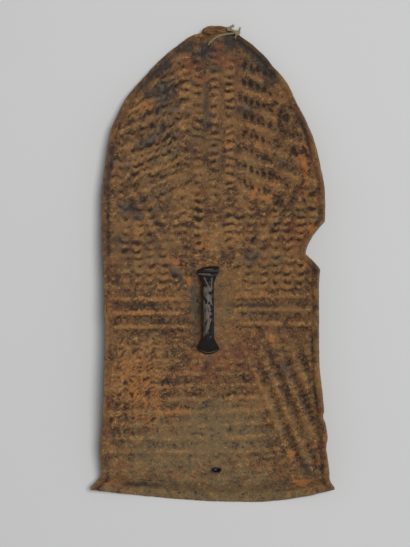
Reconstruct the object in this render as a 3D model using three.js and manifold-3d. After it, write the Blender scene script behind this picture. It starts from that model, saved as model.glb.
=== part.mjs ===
// Tall hide shield with an ogival top, lying on its front with the grip side up.
// Sizes are millimetres. x runs across, y from the base edge to the apex, z up from the ground.
import * as THREE from 'three';
import { mergeVertices } from 'three/addons/utils/BufferGeometryUtils.js';
import Module from 'manifold-3d';

const wasm = await Module();
wasm.setup();

// Hide: one thick skin, dished across and slightly bowed along its keel
const HIDE_THICKNESS = 7;
const DISH_RADIUS = 510;
const KEEL = { lift: 25, fallFrom: 450, fallTo: 870, halfWidth: 34 };
const BASE_KEEL = { halfWidth: 100, from: 60, to: 300 };
const APEX = { lift: 9, from: 935, to: 1120 };
const WARP = { rise: 3.5, side: 200, lengthY: 95, lengthX: 160 };

// Base edge: two half bows that meet right of the middle, and the lip behind it
const BASE_CROWN_X = 90;
const BASE_LEFT = { x: -291, rise: 35 };
const BASE_RIGHT = { x: 291, rise: 37 };
const LIP_FOOT = 18;
const LIP_DEPTH = 58;
const FLARE = { top: 76, corner: 40, left: 27.5, leftPower: 1.4, right: 14.5, rightPower: 2 };

// Damage: the bite in the right edge and a small nick below it
const BITE = { top: 673, deep: 597, bottom: 559, depth: 37.5, upperPower: 0.87, lowerPower: 1.35 };
const NICK = { y: 213, reach: 13, depth: 6 };

// Rim and the hollow behind the grip
const RIM = { width: 12, rise: 1.6, grooveAt: 15, grooveReach: 6, groove: 1.4 };
const HOLLOW = { x: -6, y: 480, halfWidth: 49, halfLength: 78, depth: 12 };

// Apex tongue: a curled lobe with a crease at its root
const TONGUE = { root: 1125, crest: 1136, top: 1146, rise: 8, tipFall: 0.45, sideFall: 0.6 };
const TONGUE_SIDES = { left: -41, leftFull: -21, rightFull: 20, right: 50 };
const CREASE = { depth: 1.5, reach: 5 };

// Grip: a leather strap rolled round in the middle, flared and thin where it enters its slits
const GRIP = { x: -10.5, foot: 357, head: 566, halfWidth: 13.5, halfThickness: 9.5 };
const ARCH = { rise: 31, power: 2.2, steps: 16 };
const GRIP_END = { halfWidth: 28, halfThickness: 2.2, flareFrom: 0.58, thinFrom: 0.45, thinTo: 0.96 };
const GRIP_BOW = { foot: 9, head: 3, headSlant: 0.13 };
const TAB = { halfWidth: 24, tipHalfWidth: 15, length: 30, bend: 4.2, gap: 0.9 };
const SLIT_CLEARANCE = 0.35;

// Tie cord at the apex
const CORD_RADIUS = 2.4;
const CORD_GAP = 0.9;
const HOLE_RADIUS = 4.8;
const CORD_HOLE_LEFT = { x: -10, y: 1102 };
const CORD_HOLE_RIGHT = { x: 54, y: 1119 };
const KNOT = { x: 59, y: 1129, radius: 6 };

// Worn hole near the base
const WORN_HOLE = { x: 8, y: 81, halfWidth: 9, halfHeight: 3.4 };

// Mesh of the hide: the underside has one cell for each block of cells of the top
const COLUMNS = 36;
const COLUMNS_UNDER = 9;
const ROWS_PER_UNDER = 2;

// Side edges of the hide as [y, x], one point wherever the edge changes its run
const LEFT_EDGE = [
  [0, -264.5], [76, -264.5], [143, -268.3], [163, -266], [225, -261.3], [277, -258.2], [418, -254.5],
  [465, -257.5], [512, -258], [645, -263.6], [735, -263.7], [777, -259.8], [835, -252.4], [893, -242.4],
  [931, -227], [971, -207], [1010, -175.7], [1069, -121.2], [1108, -73.3], [1123, -50.2], [1126, -43],
  [1130, -27.5], [1138, -23.5], [1143, -16], [1146, -7],
];
const RIGHT_EDGE = [
  [0, 276.5], [76, 276.5], [100, 274.5], [140, 268.5], [163, 271.5], [196, 266.8], [277, 258], [350, 251.5],
  [512, 250.5], [672, 264.8], [711, 266.3], [758, 264.8], [797, 258], [854, 246], [912, 225.4], [971, 196],
  [990, 188.5], [1029, 163], [1049, 144.5], [1069, 129.5], [1108, 87], [1123, 66.3], [1130, 61], [1138, 49],
  [1143, 35], [1146, 18],
];

// Rows of the tooling. Each station gives where a row meets the left edge, the crown and the right edge, how
// far across its crown lies, and how many rows lie between it and the station before.
const ROW_STATIONS = [
  { rows: 0, left: BASE_LEFT.rise, mid: 0, right: BASE_RIGHT.rise, crown: 0.655 },
  { rows: 6, left: 66, mid: 50, right: 68, crown: 0.6 },
  { rows: 3, left: 88, mid: 80, right: 95, crown: 0.5 },
  { rows: 6, left: 178, mid: 173, right: 207, crown: 0.45 },
  { rows: 12, left: 355, mid: 355, right: 376, crown: 0.5 },
  { rows: 4, left: 408, mid: 407, right: 410, crown: 0.5 },
  { rows: 10, left: 508, mid: 508, right: 508, crown: 0.5 },
  { rows: 13, left: 672, mid: 712, right: 668, crown: 0.5 },
  { rows: 24, left: 893, mid: 966, right: 874, crown: 0.5 },
  { rows: 8, left: 1014, mid: 1062, right: 1004, crown: 0.5 },
  { rows: 5, left: 1119, mid: 1120, right: 1119, crown: 0.5 },
  { rows: 1, left: 1124, mid: 1125, right: 1124, crown: 0.5 },
  { rows: 4, left: 1146, mid: 1146, right: 1146, crown: 0.5 },
];

// Tooled rows and ridges. Rows rise at every second mesh row, so their pitch follows the stations.
const FANS = { from: 690, full: 740, fade: 1040, end: 1110, height: 1.5 };
const LOWER_ROWS = { from: 95, full: 130, fade: 330, end: 360, height: 1.3 };
const WAIST = { from: 395, full: 418, fade: 492, end: 512, crest: 490.7, pitch: 34, height: 2 };
const FURROWS = { from: 60, full: 110, fade: 330, end: 400, x: 64, y: 402, lean: 0.42, height: 2.2 };
const FURROW_PITCH = 50;
const SPINE = { x: 4, halfWidth: 26, keeps: 0.6 };
const STAR = { from: 520, full: 560, fade: 740, end: 790, middleX: -6, x: -127, y: 632, height: 1.2 };
const RAY = { across: 0.863, along: 0.506, pitch: 32, reach: 62 };
const PLAIN = { squeeze: 0.62, from: 52, to: 80, insideRim: 20 };

const { smoothstep } = THREE.MathUtils;
const band = (t, { from, full, fade, end }) => smoothstep(t, from, full) * (1 - smoothstep(t, fade, end));
const bump = (t) => Math.max(0, 1 - t * t) ** 2;

// Smooth curve through [t, value] points that never swings past them: cubic pieces whose slope at a point is
// the harmonic mean of the slopes on its two sides, or zero where the run turns back
function curveThrough(points) {
  const slopes = points.slice(1).map(([t, v], i) => (v - points[i][1]) / (t - points[i][0]));
  const tangents = points.map((_, i) => {
    const before = slopes[Math.max(i - 1, 0)];
    const after = slopes[Math.min(i, slopes.length - 1)];
    return before * after <= 0 ? 0 : (2 * before * after) / (before + after);
  });
  return (t) => {
    const last = points.length - 2;
    const found = points.findIndex(([start], i) => i > 0 && t < start) - 1;
    const i = found < 0 ? (t < points[0][0] ? 0 : last) : found;
    const span = points[i + 1][0] - points[i][0];
    const s = THREE.MathUtils.clamp((t - points[i][0]) / span, 0, 1);
    const rise = s * s * (3 - 2 * s);
    return (
      points[i][1] * (1 - rise) +
      points[i + 1][1] * rise +
      span * s * (1 - s) * (tangents[i] * (1 - s) - tangents[i + 1] * s)
    );
  };
}

const leftRun = curveThrough(LEFT_EDGE);
const rightRun = curveThrough(RIGHT_EDGE);

// How far the base corners flare out, 0 above the flare and 1 at the corner
const flareAt = (y) => THREE.MathUtils.clamp((FLARE.top - y) / (FLARE.top - FLARE.corner), 0, 1);

// The bite falls away slowly from its upper corner and comes back steeply below its deepest point
function biteDepth(y) {
  if (y <= BITE.bottom || y >= BITE.top) return 0;
  if (y < BITE.deep) return BITE.depth * ((y - BITE.bottom) / (BITE.deep - BITE.bottom)) ** BITE.lowerPower;
  return BITE.depth * Math.sin((Math.PI / 2) * ((BITE.top - y) / (BITE.top - BITE.deep))) ** BITE.upperPower;
}

const nickDepth = (y) => NICK.depth * Math.max(0, 1 - Math.abs(y - NICK.y) / NICK.reach);
const leftEdge = (y) => leftRun(y) - FLARE.left * flareAt(y) ** FLARE.leftPower;
const rightEdge = (y) =>
  rightRun(y) + FLARE.right * flareAt(y) ** FLARE.rightPower - biteDepth(y) - nickDepth(y);

// Base edge height at x: a parabola on each side of the crown
function baseEdge(x) {
  const side = x < BASE_CROWN_X ? BASE_LEFT : BASE_RIGHT;
  return side.rise * ((x - BASE_CROWN_X) / (side.x - BASE_CROWN_X)) ** 2;
}

// Row stations as curves over the row number
const rowsUpTo = (i) => ROW_STATIONS.slice(0, i + 1).reduce((sum, station) => sum + station.rows, 0);
const rowNumbers = ROW_STATIONS.map((_, i) => rowsUpTo(i));
const rowCurve = (key) => curveThrough(ROW_STATIONS.map((station, i) => [rowNumbers[i], station[key]]));
const [rowLeft, rowMid, rowRight, rowCrown] = ['left', 'mid', 'right', 'crown'].map(rowCurve);
const ROWS = rowNumbers.at(-1);

// Plan position of the point that lies the fraction u across a row, which bows like two half parabolas
function planPoint(u, row) {
  const crown = rowCrown(row);
  const end = u < crown ? rowLeft(row) : rowRight(row);
  const span = u < crown ? crown : 1 - crown;
  const x = THREE.MathUtils.lerp(leftEdge(rowLeft(row)), rightEdge(rowRight(row)), u);
  return { x, y: rowMid(row) - (rowMid(row) - end) * ((u - crown) / span) ** 2 };
}

// Hollow for the knuckles behind the grip, 1 at its middle and 0 at its oval border
const hollowAt = (x, y) =>
  bump(Math.min(1, Math.hypot((x - HOLLOW.x) / HOLLOW.halfWidth, (y - HOLLOW.y) / HOLLOW.halfLength)));

// Lift of the keel, full along the lower half and fallen to nothing where the shield lies on its upper keel
const keelLift = (y) => KEEL.lift * (1 - smoothstep(y, KEEL.fallFrom, KEEL.fallTo));

// Height of the front face of the hide: keel, dish, lip at the base, hollow and a little warp
function frontHeight(x, y) {
  const lip = smoothstep(y - baseEdge(x), LIP_FOOT, LIP_DEPTH);
  const keel = keelLift(y) * lip + APEX.lift * smoothstep(y, APEX.from, APEX.to);
  const narrowing = smoothstep(y, BASE_KEEL.from, BASE_KEEL.to);
  const keelHalf = THREE.MathUtils.lerp(BASE_KEEL.halfWidth, KEEL.halfWidth, narrowing);
  const side = Math.max(0, Math.abs(x) - keelHalf);
  const warp = WARP.rise * (side / WARP.side) ** 2 * Math.sin(y / WARP.lengthY + x / WARP.lengthX);
  return Math.max(0, keel + (side * side) / (2 * DISH_RADIUS) + warp - HOLLOW.depth * hollowAt(x, y));
}

// Unit normal of the hide from central differences
function hideNormal(x, y) {
  const step = 2;
  const dx = frontHeight(x + step, y) - frontHeight(x - step, y);
  const dy = frontHeight(x, y + step) - frontHeight(x, y - step);
  return new THREE.Vector3(-dx, -dy, 2 * step).normalize();
}

// Curl of the apex tongue: a rounded rise past its root, full between its sides, with a crease before it
function tongueCurl(x, y) {
  const fromLeft = smoothstep(x, TONGUE_SIDES.left, TONGUE_SIDES.leftFull);
  const toRight = 1 - TONGUE.sideFall * smoothstep(x, TONGUE_SIDES.rightFull, TONGUE_SIDES.right);
  const tip = TONGUE.tipFall * smoothstep(y, TONGUE.crest, TONGUE.top);
  const up = smoothstep(y, TONGUE.root - 1, TONGUE.crest) - tip;
  return fromLeft * toRight * (TONGUE.rise * up - CREASE.depth * bump((y - TONGUE.root) / CREASE.reach));
}

// Distance from the nearer side edge, square to it
function edgeDistance(x, y) {
  const leftLean = leftEdge(y + 3) - leftEdge(y - 3);
  const rightLean = rightEdge(y + 3) - rightEdge(y - 3);
  return Math.min(
    (x - leftEdge(y)) / Math.hypot(1, leftLean / 6),
    (rightEdge(y) - x) / Math.hypot(1, rightLean / 6),
  );
}

// Tooling of the grip side: rim and groove, fans of rows above, bands at the waist, rows and furrows below,
// and ridges that run out from the head of the grip like a star
function tooling(x, y, row) {
  const edge = edgeDistance(x, y);
  const inside = smoothstep(edge, RIM.width, RIM.width + PLAIN.insideRim);
  const rim =
    RIM.rise * (1 - smoothstep(edge, RIM.width * 0.5, RIM.width * 1.2)) -
    RIM.groove * bump(Math.min(1, Math.abs(edge - RIM.grooveAt) / RIM.grooveReach));
  const spine = bump(Math.min(1, (x - SPINE.x) / SPINE.halfWidth));
  const alternate = Math.cos(Math.PI * row);
  const fans = FANS.height * band(y, FANS) * (1 - SPINE.keeps * spine) * alternate;
  const furrow = (x - FURROWS.x - FURROWS.lean * (FURROWS.y - y)) / FURROW_PITCH;
  const furrowed = band(y, FURROWS) * smoothstep(furrow, -0.5, 0);
  const lower = LOWER_ROWS.height * band(y, LOWER_ROWS) * (1 - spine) * (1 - furrowed) * alternate;
  const waist = WAIST.height * band(y, WAIST) * Math.cos((2 * Math.PI * (y - WAIST.crest)) / WAIST.pitch);
  const fromHollow = Math.hypot(x - HOLLOW.x, (y - HOLLOW.y) * PLAIN.squeeze);
  const beside = smoothstep(fromHollow, PLAIN.from, PLAIN.to);
  const ray = RAY.across * (STAR.middleX - STAR.x - Math.abs(x - STAR.middleX)) + RAY.along * (y - STAR.y);
  const rays = bump(Math.min(1, Math.abs(ray) / RAY.reach)) * Math.cos((2 * Math.PI * ray) / RAY.pitch);
  const star = STAR.height * band(y, STAR) * rays;
  const furrows = FURROWS.height * furrowed * Math.cos(2 * Math.PI * furrow);
  return rim + inside * (fans + lower + furrows + beside * (waist + star));
}

// Points of the two faces of the hide
function frontPoint(u, row) {
  const { x, y } = planPoint(u, row);
  return new THREE.Vector3(x, y, frontHeight(x, y) + 0.5 * tongueCurl(x, y));
}

function gripSidePoint(u, row) {
  const { x, y } = planPoint(u, row);
  const out = hideNormal(x, y).multiplyScalar(HIDE_THICKNESS + tooling(x, y, row));
  return new THREE.Vector3(x, y, frontHeight(x, y) + tongueCurl(x, y)).add(out);
}

// Height of the grip side straight above a plan position, without its tooling
const gripSideHeight = (x, y) => frontHeight(x, y) + HIDE_THICKNESS + tongueCurl(x, y);

// Closed solid from points and triangles
function solidFrom(points, triangles) {
  const vertProperties = new Float32Array(points.flatMap((p) => [p.x, p.y, p.z]));
  const triVerts = new Uint32Array(triangles.flat());
  return new wasm.Manifold(new wasm.Mesh({ numProp: 3, vertProperties, triVerts }));
}

function solidFromGeometry(geometry) {
  const bare = geometry.clone();
  bare.deleteAttribute('normal');
  bare.deleteAttribute('uv');
  const merged = mergeVertices(bare, 1e-4);
  return new wasm.Manifold(
    new wasm.Mesh({
      numProp: 3,
      vertProperties: new Float32Array(merged.attributes.position.array),
      triVerts: new Uint32Array(merged.index.array),
    }),
  );
}

function meshFromSolid(solid, name, material) {
  const { vertProperties, triVerts } = solid.getMesh();
  const geometry = new THREE.BufferGeometry();
  geometry.setAttribute('position', new THREE.BufferAttribute(vertProperties, 3));
  geometry.setIndex(new THREE.BufferAttribute(triVerts, 1));
  geometry.computeVertexNormals();
  const mesh = new THREE.Mesh(geometry, material);
  mesh.name = name;
  return mesh;
}

// Grid of points with the triangles of its cells, facing up
function grid(columns, rows, pointAt) {
  const points = [];
  const triangles = [];
  for (let row = 0; row <= rows; row += 1) {
    for (let column = 0; column <= columns; column += 1) {
      points.push(pointAt(column / columns, row / rows));
    }
  }
  const index = (column, row) => row * (columns + 1) + column;
  for (let row = 0; row < rows; row += 1) {
    for (let column = 0; column < columns; column += 1) {
      const [a, b] = [index(column, row), index(column + 1, row)];
      const [c, d] = [index(column + 1, row + 1), index(column, row + 1)];
      triangles.push([a, b, c], [a, c, d]);
    }
  }
  return { points, triangles, index, columns, rows };
}

// Border of a grid, anticlockwise from its first corner, as one list of vertices for each side
function border({ index, columns, rows }) {
  const span = (count) => Array.from({ length: count + 1 }, (_, i) => i);
  return [
    span(columns).map((i) => index(i, 0)),
    span(rows).map((i) => index(columns, i)),
    span(columns).map((i) => index(columns - i, rows)),
    span(rows).map((i) => index(0, rows - i)),
  ];
}

// Cut edge of the hide: each border edge of the coarse front face is joined to its run of fine edges
function cutEdge(fine, coarse, offset) {
  const triangles = [];
  const fineSides = border(fine);
  border(coarse).forEach((side, s) => {
    const run = (fineSides[s].length - 1) / (side.length - 1);
    for (let i = 0; i + 1 < side.length; i += 1) {
      const low = [side[i] + offset, side[i + 1] + offset];
      const high = fineSides[s].slice(i * run, (i + 1) * run + 1);
      const half = Math.floor(run / 2);
      triangles.push([low[0], low[1], high[half]]);
      for (let k = 0; k < run; k += 1) {
        triangles.push([k < half ? low[0] : low[1], high[k + 1], high[k]]);
      }
    }
  });
  return triangles;
}

function hideSheet() {
  const fine = grid(COLUMNS, ROWS, (u, v) => gripSidePoint(u, v * ROWS));
  const coarse = grid(COLUMNS_UNDER, ROWS / ROWS_PER_UNDER, (u, v) => frontPoint(u, v * ROWS));
  const offset = fine.points.length;
  const under = coarse.triangles.map(([a, b, c]) => [a + offset, c + offset, b + offset]);
  const triangles = [...fine.triangles, ...under, ...cutEdge(fine, coarse, offset)];
  return solidFrom([...fine.points, ...coarse.points], triangles);
}

// Upright plug through the hide at a plan position
function plug({ x, y }, halfWidth, halfHeight, sides) {
  const geometry = new THREE.CylinderGeometry(1, 1, 60, sides);
  geometry.rotateX(Math.PI / 2);
  geometry.scale(halfWidth, halfHeight, 1);
  geometry.translate(x, y, frontHeight(x, y));
  return solidFromGeometry(geometry);
}

// Solid skinned over rings of equal count, with a flat cap at each end
function loft(rings) {
  const count = rings[0].length;
  const points = rings.flat();
  const triangles = [];
  for (let r = 0; r + 1 < rings.length; r += 1) {
    for (let i = 0; i < count; i += 1) {
      const [a, b] = [r * count + i, r * count + ((i + 1) % count)];
      triangles.push([a, b + count, b], [a, a + count, b + count]);
    }
  }
  const last = (rings.length - 1) * count;
  for (let i = 1; i + 1 < count; i += 1) {
    triangles.push([0, i, i + 1], [last, last + i + 1, last + i]);
  }
  return solidFrom(points, triangles);
}

const GRIP_MIDDLE = (GRIP.foot + GRIP.head) / 2;
const GRIP_HALF_LENGTH = (GRIP.head - GRIP.foot) / 2;
const SLIT_PARTS = 4;

// Stations of the strap's centre line from one tab, up through its slit, over the arch and down to the other
function gripStations() {
  const arch = [];
  for (let i = 0; i <= ARCH.steps; i += 1) {
    const turn = Math.PI * (1 - i / ARCH.steps);
    const reach = Math.sign(Math.cos(turn)) * Math.abs(Math.cos(turn)) ** (2 / ARCH.power);
    const y = GRIP_MIDDLE + reach * GRIP_HALF_LENGTH;
    const flare = smoothstep(Math.abs(reach), GRIP_END.flareFrom, 1);
    const thinning = smoothstep(Math.abs(reach), GRIP_END.thinFrom, GRIP_END.thinTo);
    arch.push({
      y,
      z: keelLift(y) + HIDE_THICKNESS + ARCH.rise * Math.sin(turn) ** (2 / ARCH.power),
      halfWidth: THREE.MathUtils.lerp(GRIP.halfWidth, GRIP_END.halfWidth, flare),
      halfThickness: THREE.MathUtils.lerp(GRIP.halfThickness, GRIP_END.halfThickness, thinning),
      end: flare * Math.sign(reach),
    });
  }
  return [...gripTab(GRIP.foot, -1).reverse(), ...arch, ...gripTab(GRIP.head, 1)];
}

// Stations from the slit down to the tip of the tab that lies against the front of the hide
function gripTab(slitY, outward) {
  const front = frontHeight(GRIP.x, slitY);
  const lowered = TAB.gap + GRIP_END.halfThickness;
  const { halfThickness } = GRIP_END;
  const station = (y, z, halfWidth) => ({ y, z, halfWidth, halfThickness, end: outward });
  const flat = (reach, halfWidth) => {
    const y = slitY + outward * reach;
    return station(y, frontHeight(GRIP.x, y) - lowered, halfWidth);
  };
  const bend = [0.15, 0.5, 0.85].map((turn) => {
    const angle = (turn * Math.PI) / 2;
    return station(
      slitY + outward * TAB.bend * (1 - Math.cos(angle)),
      front - lowered + TAB.bend * (1 - Math.sin(angle)),
      TAB.halfWidth + 2,
    );
  });
  return [
    station(slitY, front + HIDE_THICKNESS * 0.6, TAB.halfWidth + 3),
    ...bend,
    flat(TAB.bend + 4, TAB.halfWidth),
    flat(TAB.length * 0.8, TAB.halfWidth),
    flat(TAB.length, TAB.tipHalfWidth),
  ];
}

// Rings round the stations: flattened ovals square to the centre line, bowed and slanted at the two ends
function gripRings(stations, grow) {
  const sides = 10;
  return stations.map((station, i) => {
    const before = stations[Math.max(i - 1, 0)];
    const after = stations[Math.min(i + 1, stations.length - 1)];
    const run = new THREE.Vector2(after.y - before.y, after.z - before.z).normalize();
    const bow = -station.end * (station.end < 0 ? GRIP_BOW.foot : GRIP_BOW.head);
    const slant = GRIP_BOW.headSlant * Math.max(0, station.end);
    return Array.from({ length: sides }, (_, k) => {
      const angle = (2 * Math.PI * k) / sides;
      const dx = (station.halfWidth + grow) * Math.cos(angle);
      const rise = (station.halfThickness + grow) * Math.sin(angle);
      const shift = bow * (dx / station.halfWidth) ** 2 + slant * dx;
      return new THREE.Vector3(GRIP.x + dx, station.y + shift - run.y * rise, station.z + run.x * rise);
    });
  });
}

function gripSolid() {
  return loft(gripRings(gripStations(), 0));
}

// Strap ends grown by the clearance, which open the two slits in the hide
function slitCutters() {
  const stations = gripStations();
  const tabLength = gripTab(GRIP.foot, -1).length;
  const foot = stations.slice(2, tabLength + SLIT_PARTS - 1);
  const head = stations.slice(stations.length - tabLength - SLIT_PARTS + 1, stations.length - 2);
  return [foot, head].map((part) => loft(gripRings(part, SLIT_CLEARANCE)));
}

// Tube of round section along a smooth curve through its points
function cordRun(points, radius, steps) {
  const shape = new THREE.Shape();
  shape.absarc(0, 0, radius, 0, 2 * Math.PI, false);
  const path = new THREE.CatmullRomCurve3(points, false, 'centripetal');
  return solidFromGeometry(
    new THREE.ExtrudeGeometry(shape, { steps, bevelEnabled: false, extrudePath: path, curveSegments: 4 }),
  );
}

// The cord starts in its knot, goes down the right hole, back along the front, up the left hole and over the
// grip side to the knot, where its two tails leave
function tieCord() {
  const clear = CORD_RADIUS + CORD_GAP;
  const over = (x, y, lift = 0) => new THREE.Vector3(x, y, gripSideHeight(x, y) + clear + lift);
  const below = (x, y) => new THREE.Vector3(x, y, frontHeight(x, y) - clear);
  const atHole = ({ x, y }, depth) => new THREE.Vector3(x, y, frontHeight(x, y) + depth);
  const knot = over(KNOT.x, KNOT.y, 4);
  const loop = cordRun(
    [
      knot,
      over(CORD_HOLE_RIGHT.x + 1.5, CORD_HOLE_RIGHT.y + 3.5, 2),
      atHole(CORD_HOLE_RIGHT, HIDE_THICKNESS),
      atHole(CORD_HOLE_RIGHT, -0.8),
      below(CORD_HOLE_RIGHT.x - 6, CORD_HOLE_RIGHT.y - 1.2),
      below(22, 1110.5),
      below(CORD_HOLE_LEFT.x + 6, CORD_HOLE_LEFT.y + 1.2),
      atHole(CORD_HOLE_LEFT, -0.8),
      atHole(CORD_HOLE_LEFT, HIDE_THICKNESS),
      over(CORD_HOLE_LEFT.x + 3, CORD_HOLE_LEFT.y + 4, 1),
      over(6, 1117, 1),
      over(30, 1126, 2),
      knot,
    ],
    CORD_RADIUS,
    20,
  );
  const lump = new THREE.SphereGeometry(KNOT.radius, 8, 6);
  lump.scale(1, 0.9, 0.8);
  lump.translate(knot.x, knot.y, knot.z);
  const upperTail = cordRun([knot, over(53, 1139, 3), over(46, 1146, 5)], CORD_RADIUS * 0.9, 4);
  const sideTail = cordRun([knot, over(64, 1133, 3), over(65, 1139, 4)], CORD_RADIUS * 0.8, 3);
  return [solidFromGeometry(lump), upperTail, sideTail].reduce((sum, part) => sum.add(part), loop);
}

function hideBoard() {
  const openings = [
    ...slitCutters(),
    plug(CORD_HOLE_LEFT, HOLE_RADIUS, HOLE_RADIUS, 10),
    plug(CORD_HOLE_RIGHT, HOLE_RADIUS, HOLE_RADIUS, 10),
    plug(WORN_HOLE, WORN_HOLE.halfWidth, WORN_HOLE.halfHeight, 12),
  ];
  return openings.reduce((sheet, opening) => sheet.subtract(opening), hideSheet());
}

const rawhide = new THREE.MeshStandardMaterial({ color: 0x6a5038, roughness: 0.75, metalness: 0 });
const blackLeather = new THREE.MeshStandardMaterial({ color: 0x1c1a18, roughness: 0.4, metalness: 0 });
const plantFibre = new THREE.MeshStandardMaterial({ color: 0x9c8d70, roughness: 0.9, metalness: 0 });

const pieces = new THREE.Group();
pieces.add(
  meshFromSolid(hideBoard(), 'hide_board', rawhide),
  meshFromSolid(gripSolid(), 'grip', blackLeather),
  meshFromSolid(tieCord(), 'tie_cord', plantFibre),
);

// The origin is on the ground under the middle of the whole shield
const box = new THREE.Box3().setFromObject(pieces);
pieces.position.set(-(box.min.x + box.max.x) / 2, -(box.min.y + box.max.y) / 2, -box.min.z);
const shield = new THREE.Group();
shield.add(pieces);

export default shield;
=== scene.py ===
"""Looks of a tall hide shield with an ogival top, lying on its front with the grip side up.

The shapes are worked out in millimetres, with x across from the middle line and y up from the base
edge, and go into the frame in metres.
"""

import bpy
import numpy as np
from bpy.props import FloatProperty, FloatVectorProperty, IntProperty, PointerProperty
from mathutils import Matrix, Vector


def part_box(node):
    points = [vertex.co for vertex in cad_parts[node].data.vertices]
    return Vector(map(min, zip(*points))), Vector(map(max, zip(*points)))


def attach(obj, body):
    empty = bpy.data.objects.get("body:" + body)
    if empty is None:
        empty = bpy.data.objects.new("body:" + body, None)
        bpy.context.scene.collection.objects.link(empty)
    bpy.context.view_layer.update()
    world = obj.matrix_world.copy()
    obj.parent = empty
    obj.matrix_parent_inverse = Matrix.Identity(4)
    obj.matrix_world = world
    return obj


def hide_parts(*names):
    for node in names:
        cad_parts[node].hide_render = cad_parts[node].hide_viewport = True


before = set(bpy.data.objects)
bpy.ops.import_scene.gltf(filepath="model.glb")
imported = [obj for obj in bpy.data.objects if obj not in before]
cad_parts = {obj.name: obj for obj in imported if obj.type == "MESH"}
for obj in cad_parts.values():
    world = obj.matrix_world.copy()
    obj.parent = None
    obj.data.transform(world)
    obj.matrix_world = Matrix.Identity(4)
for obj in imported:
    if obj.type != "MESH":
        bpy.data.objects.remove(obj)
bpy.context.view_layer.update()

bl_info = {
    "name": "Hide Shield",
    "version": (1, 0, 0),
    "blender": (4, 5, 0),
    "location": "3D View > Sidebar > Hide Shield",
    "description": "Tooled rawhide shield with a black leather grip and a tie cord",
    "category": "Object",
}

MM = 0.001

# Hide: one thick skin, dished across and slightly bowed along its keel
HIDE_THICKNESS = 7
DISH_RADIUS = 510
KEEL = {"lift": 25, "fall_from": 450, "fall_to": 870, "half_width": 34}
BASE_KEEL = {"half_width": 100, "from": 60, "to": 300}
APEX = {"lift": 9, "from": 935, "to": 1120}
WARP = {"rise": 3.5, "side": 200, "length_y": 95, "length_x": 160}

# Base edge: two half bows that meet right of the middle, and the lip behind it
BASE_CROWN_X = 90
BASE_LEFT = {"x": -291, "rise": 35}
BASE_RIGHT = {"x": 291, "rise": 37}
LIP_FOOT = 18
LIP_DEPTH = 58
FLARE = {"top": 76, "corner": 40, "left": 27.5, "left_power": 1.4, "right": 14.5, "right_power": 2}

# Damage: the bite in the right edge, and a small nick and a worn hole below it
BITE = {"top": 673, "deep": 597, "bottom": 559, "depth": 37.5, "upper_power": 0.87, "lower_power": 1.35}
NICK = {"y": 213, "reach": 13, "depth": 6}
WORN_HOLE = {"x": 8.5, "y": 81, "half_width": 11, "half_height": 5.6, "low_share": 0.2}

# Rim, and the hollow behind the grip
RIM = {"width": 12, "rise": 1.6, "groove_at": 15, "groove_reach": 6, "groove": 1.4}
HOLLOW = {"x": -6, "y": 480, "half_width": 49, "half_length": 78, "depth": 12}

# Apex tongue: a curled lobe with a crease at its root
TONGUE = {"root": 1125, "crest": 1136, "top": 1146, "rise": 8, "tip_fall": 0.45, "side_fall": 0.6}
TONGUE_SIDES = {"left": -41, "left_full": -21, "right_full": 20, "right": 50}
CREASE = {"depth": 1.5, "reach": 5}

# Side edges of the hide as (y, x), one point wherever the edge changes its run
LEFT_EDGE = [
    (0, -264.5), (76, -264.5), (143, -268.3), (163, -266), (225, -261.3), (277, -258.2), (418, -254.5),
    (465, -257.5), (512, -258), (645, -263.6), (735, -263.7), (777, -259.8), (835, -252.4), (893, -242.4),
    (931, -227), (971, -207), (1010, -175.7), (1069, -121.2), (1108, -73.3), (1123, -50.2), (1126, -43),
    (1130, -27.5), (1138, -23.5), (1143, -16), (1146, -7),
]
RIGHT_EDGE = [
    (0, 276.5), (76, 276.5), (100, 274.5), (140, 268.5), (163, 271.5), (196, 266.8), (277, 258),
    (350, 251.5), (512, 250.5), (672, 264.8), (711, 266.3), (758, 264.8), (797, 258), (854, 246),
    (912, 225.4), (971, 196), (990, 188.5), (1029, 163), (1049, 144.5), (1069, 129.5), (1108, 87),
    (1123, 66.3), (1130, 61), (1138, 49), (1143, 35), (1146, 18),
]

# Rows of the tooling as (rows since the station before, y at the left edge, at the crown and at the
# right edge, share of the width at the crown). The long rows below the waist crest at even row numbers.
ROW_STATIONS = [
    (0, 35, 0, 37, 0.655), (6, 66, 50, 68, 0.6), (3, 88, 80, 95, 0.5), (6, 178, 173, 207, 0.45),
    (12, 355, 355, 376, 0.5), (4, 408, 407, 410, 0.5), (10, 508, 508, 508, 0.5), (13, 672, 712, 668, 0.5),
    (24, 893, 966, 874, 0.5), (8, 1014, 1062, 1004, 0.5), (5, 1119, 1120, 1119, 0.5),
    (1, 1124, 1125, 1124, 0.5), (4, 1146, 1146, 1146, 0.5),
]

# Tooled rows and ridges. The first four numbers of a band are where it starts, is full, fades and ends.
FANS = {"band": (690, 760, 1040, 1110), "height": 1.4, "pitch": 40.5, "crown": 860, "slope": 0.4}
FAN_SIDES = {"from": 46, "to": 84}
LOWER_ROWS = {"band": (95, 130, 330, 360), "height": 1.3}
WAIST = {"band": (395, 418, 492, 512), "crest": 490.7, "pitch": 33, "height": 2, "right_rise": 8}
FURROWS = {"band": (60, 110, 330, 400), "x": 64, "y": 402, "lean": 0.42, "pitch": 37, "height": 1.8}
SPINE = {"x": 4, "half_width": 26}
STAR = {"band": (520, 560, 740, 790), "middle_x": -6, "x": -127, "y": 632, "height": 1.2}
RAY = {"across": 0.863, "along": 0.506, "pitch": 32, "reach": 62}
PLAIN = {"squeeze": 0.62, "from": 52, "to": 80, "inside_rim": 11}

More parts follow.
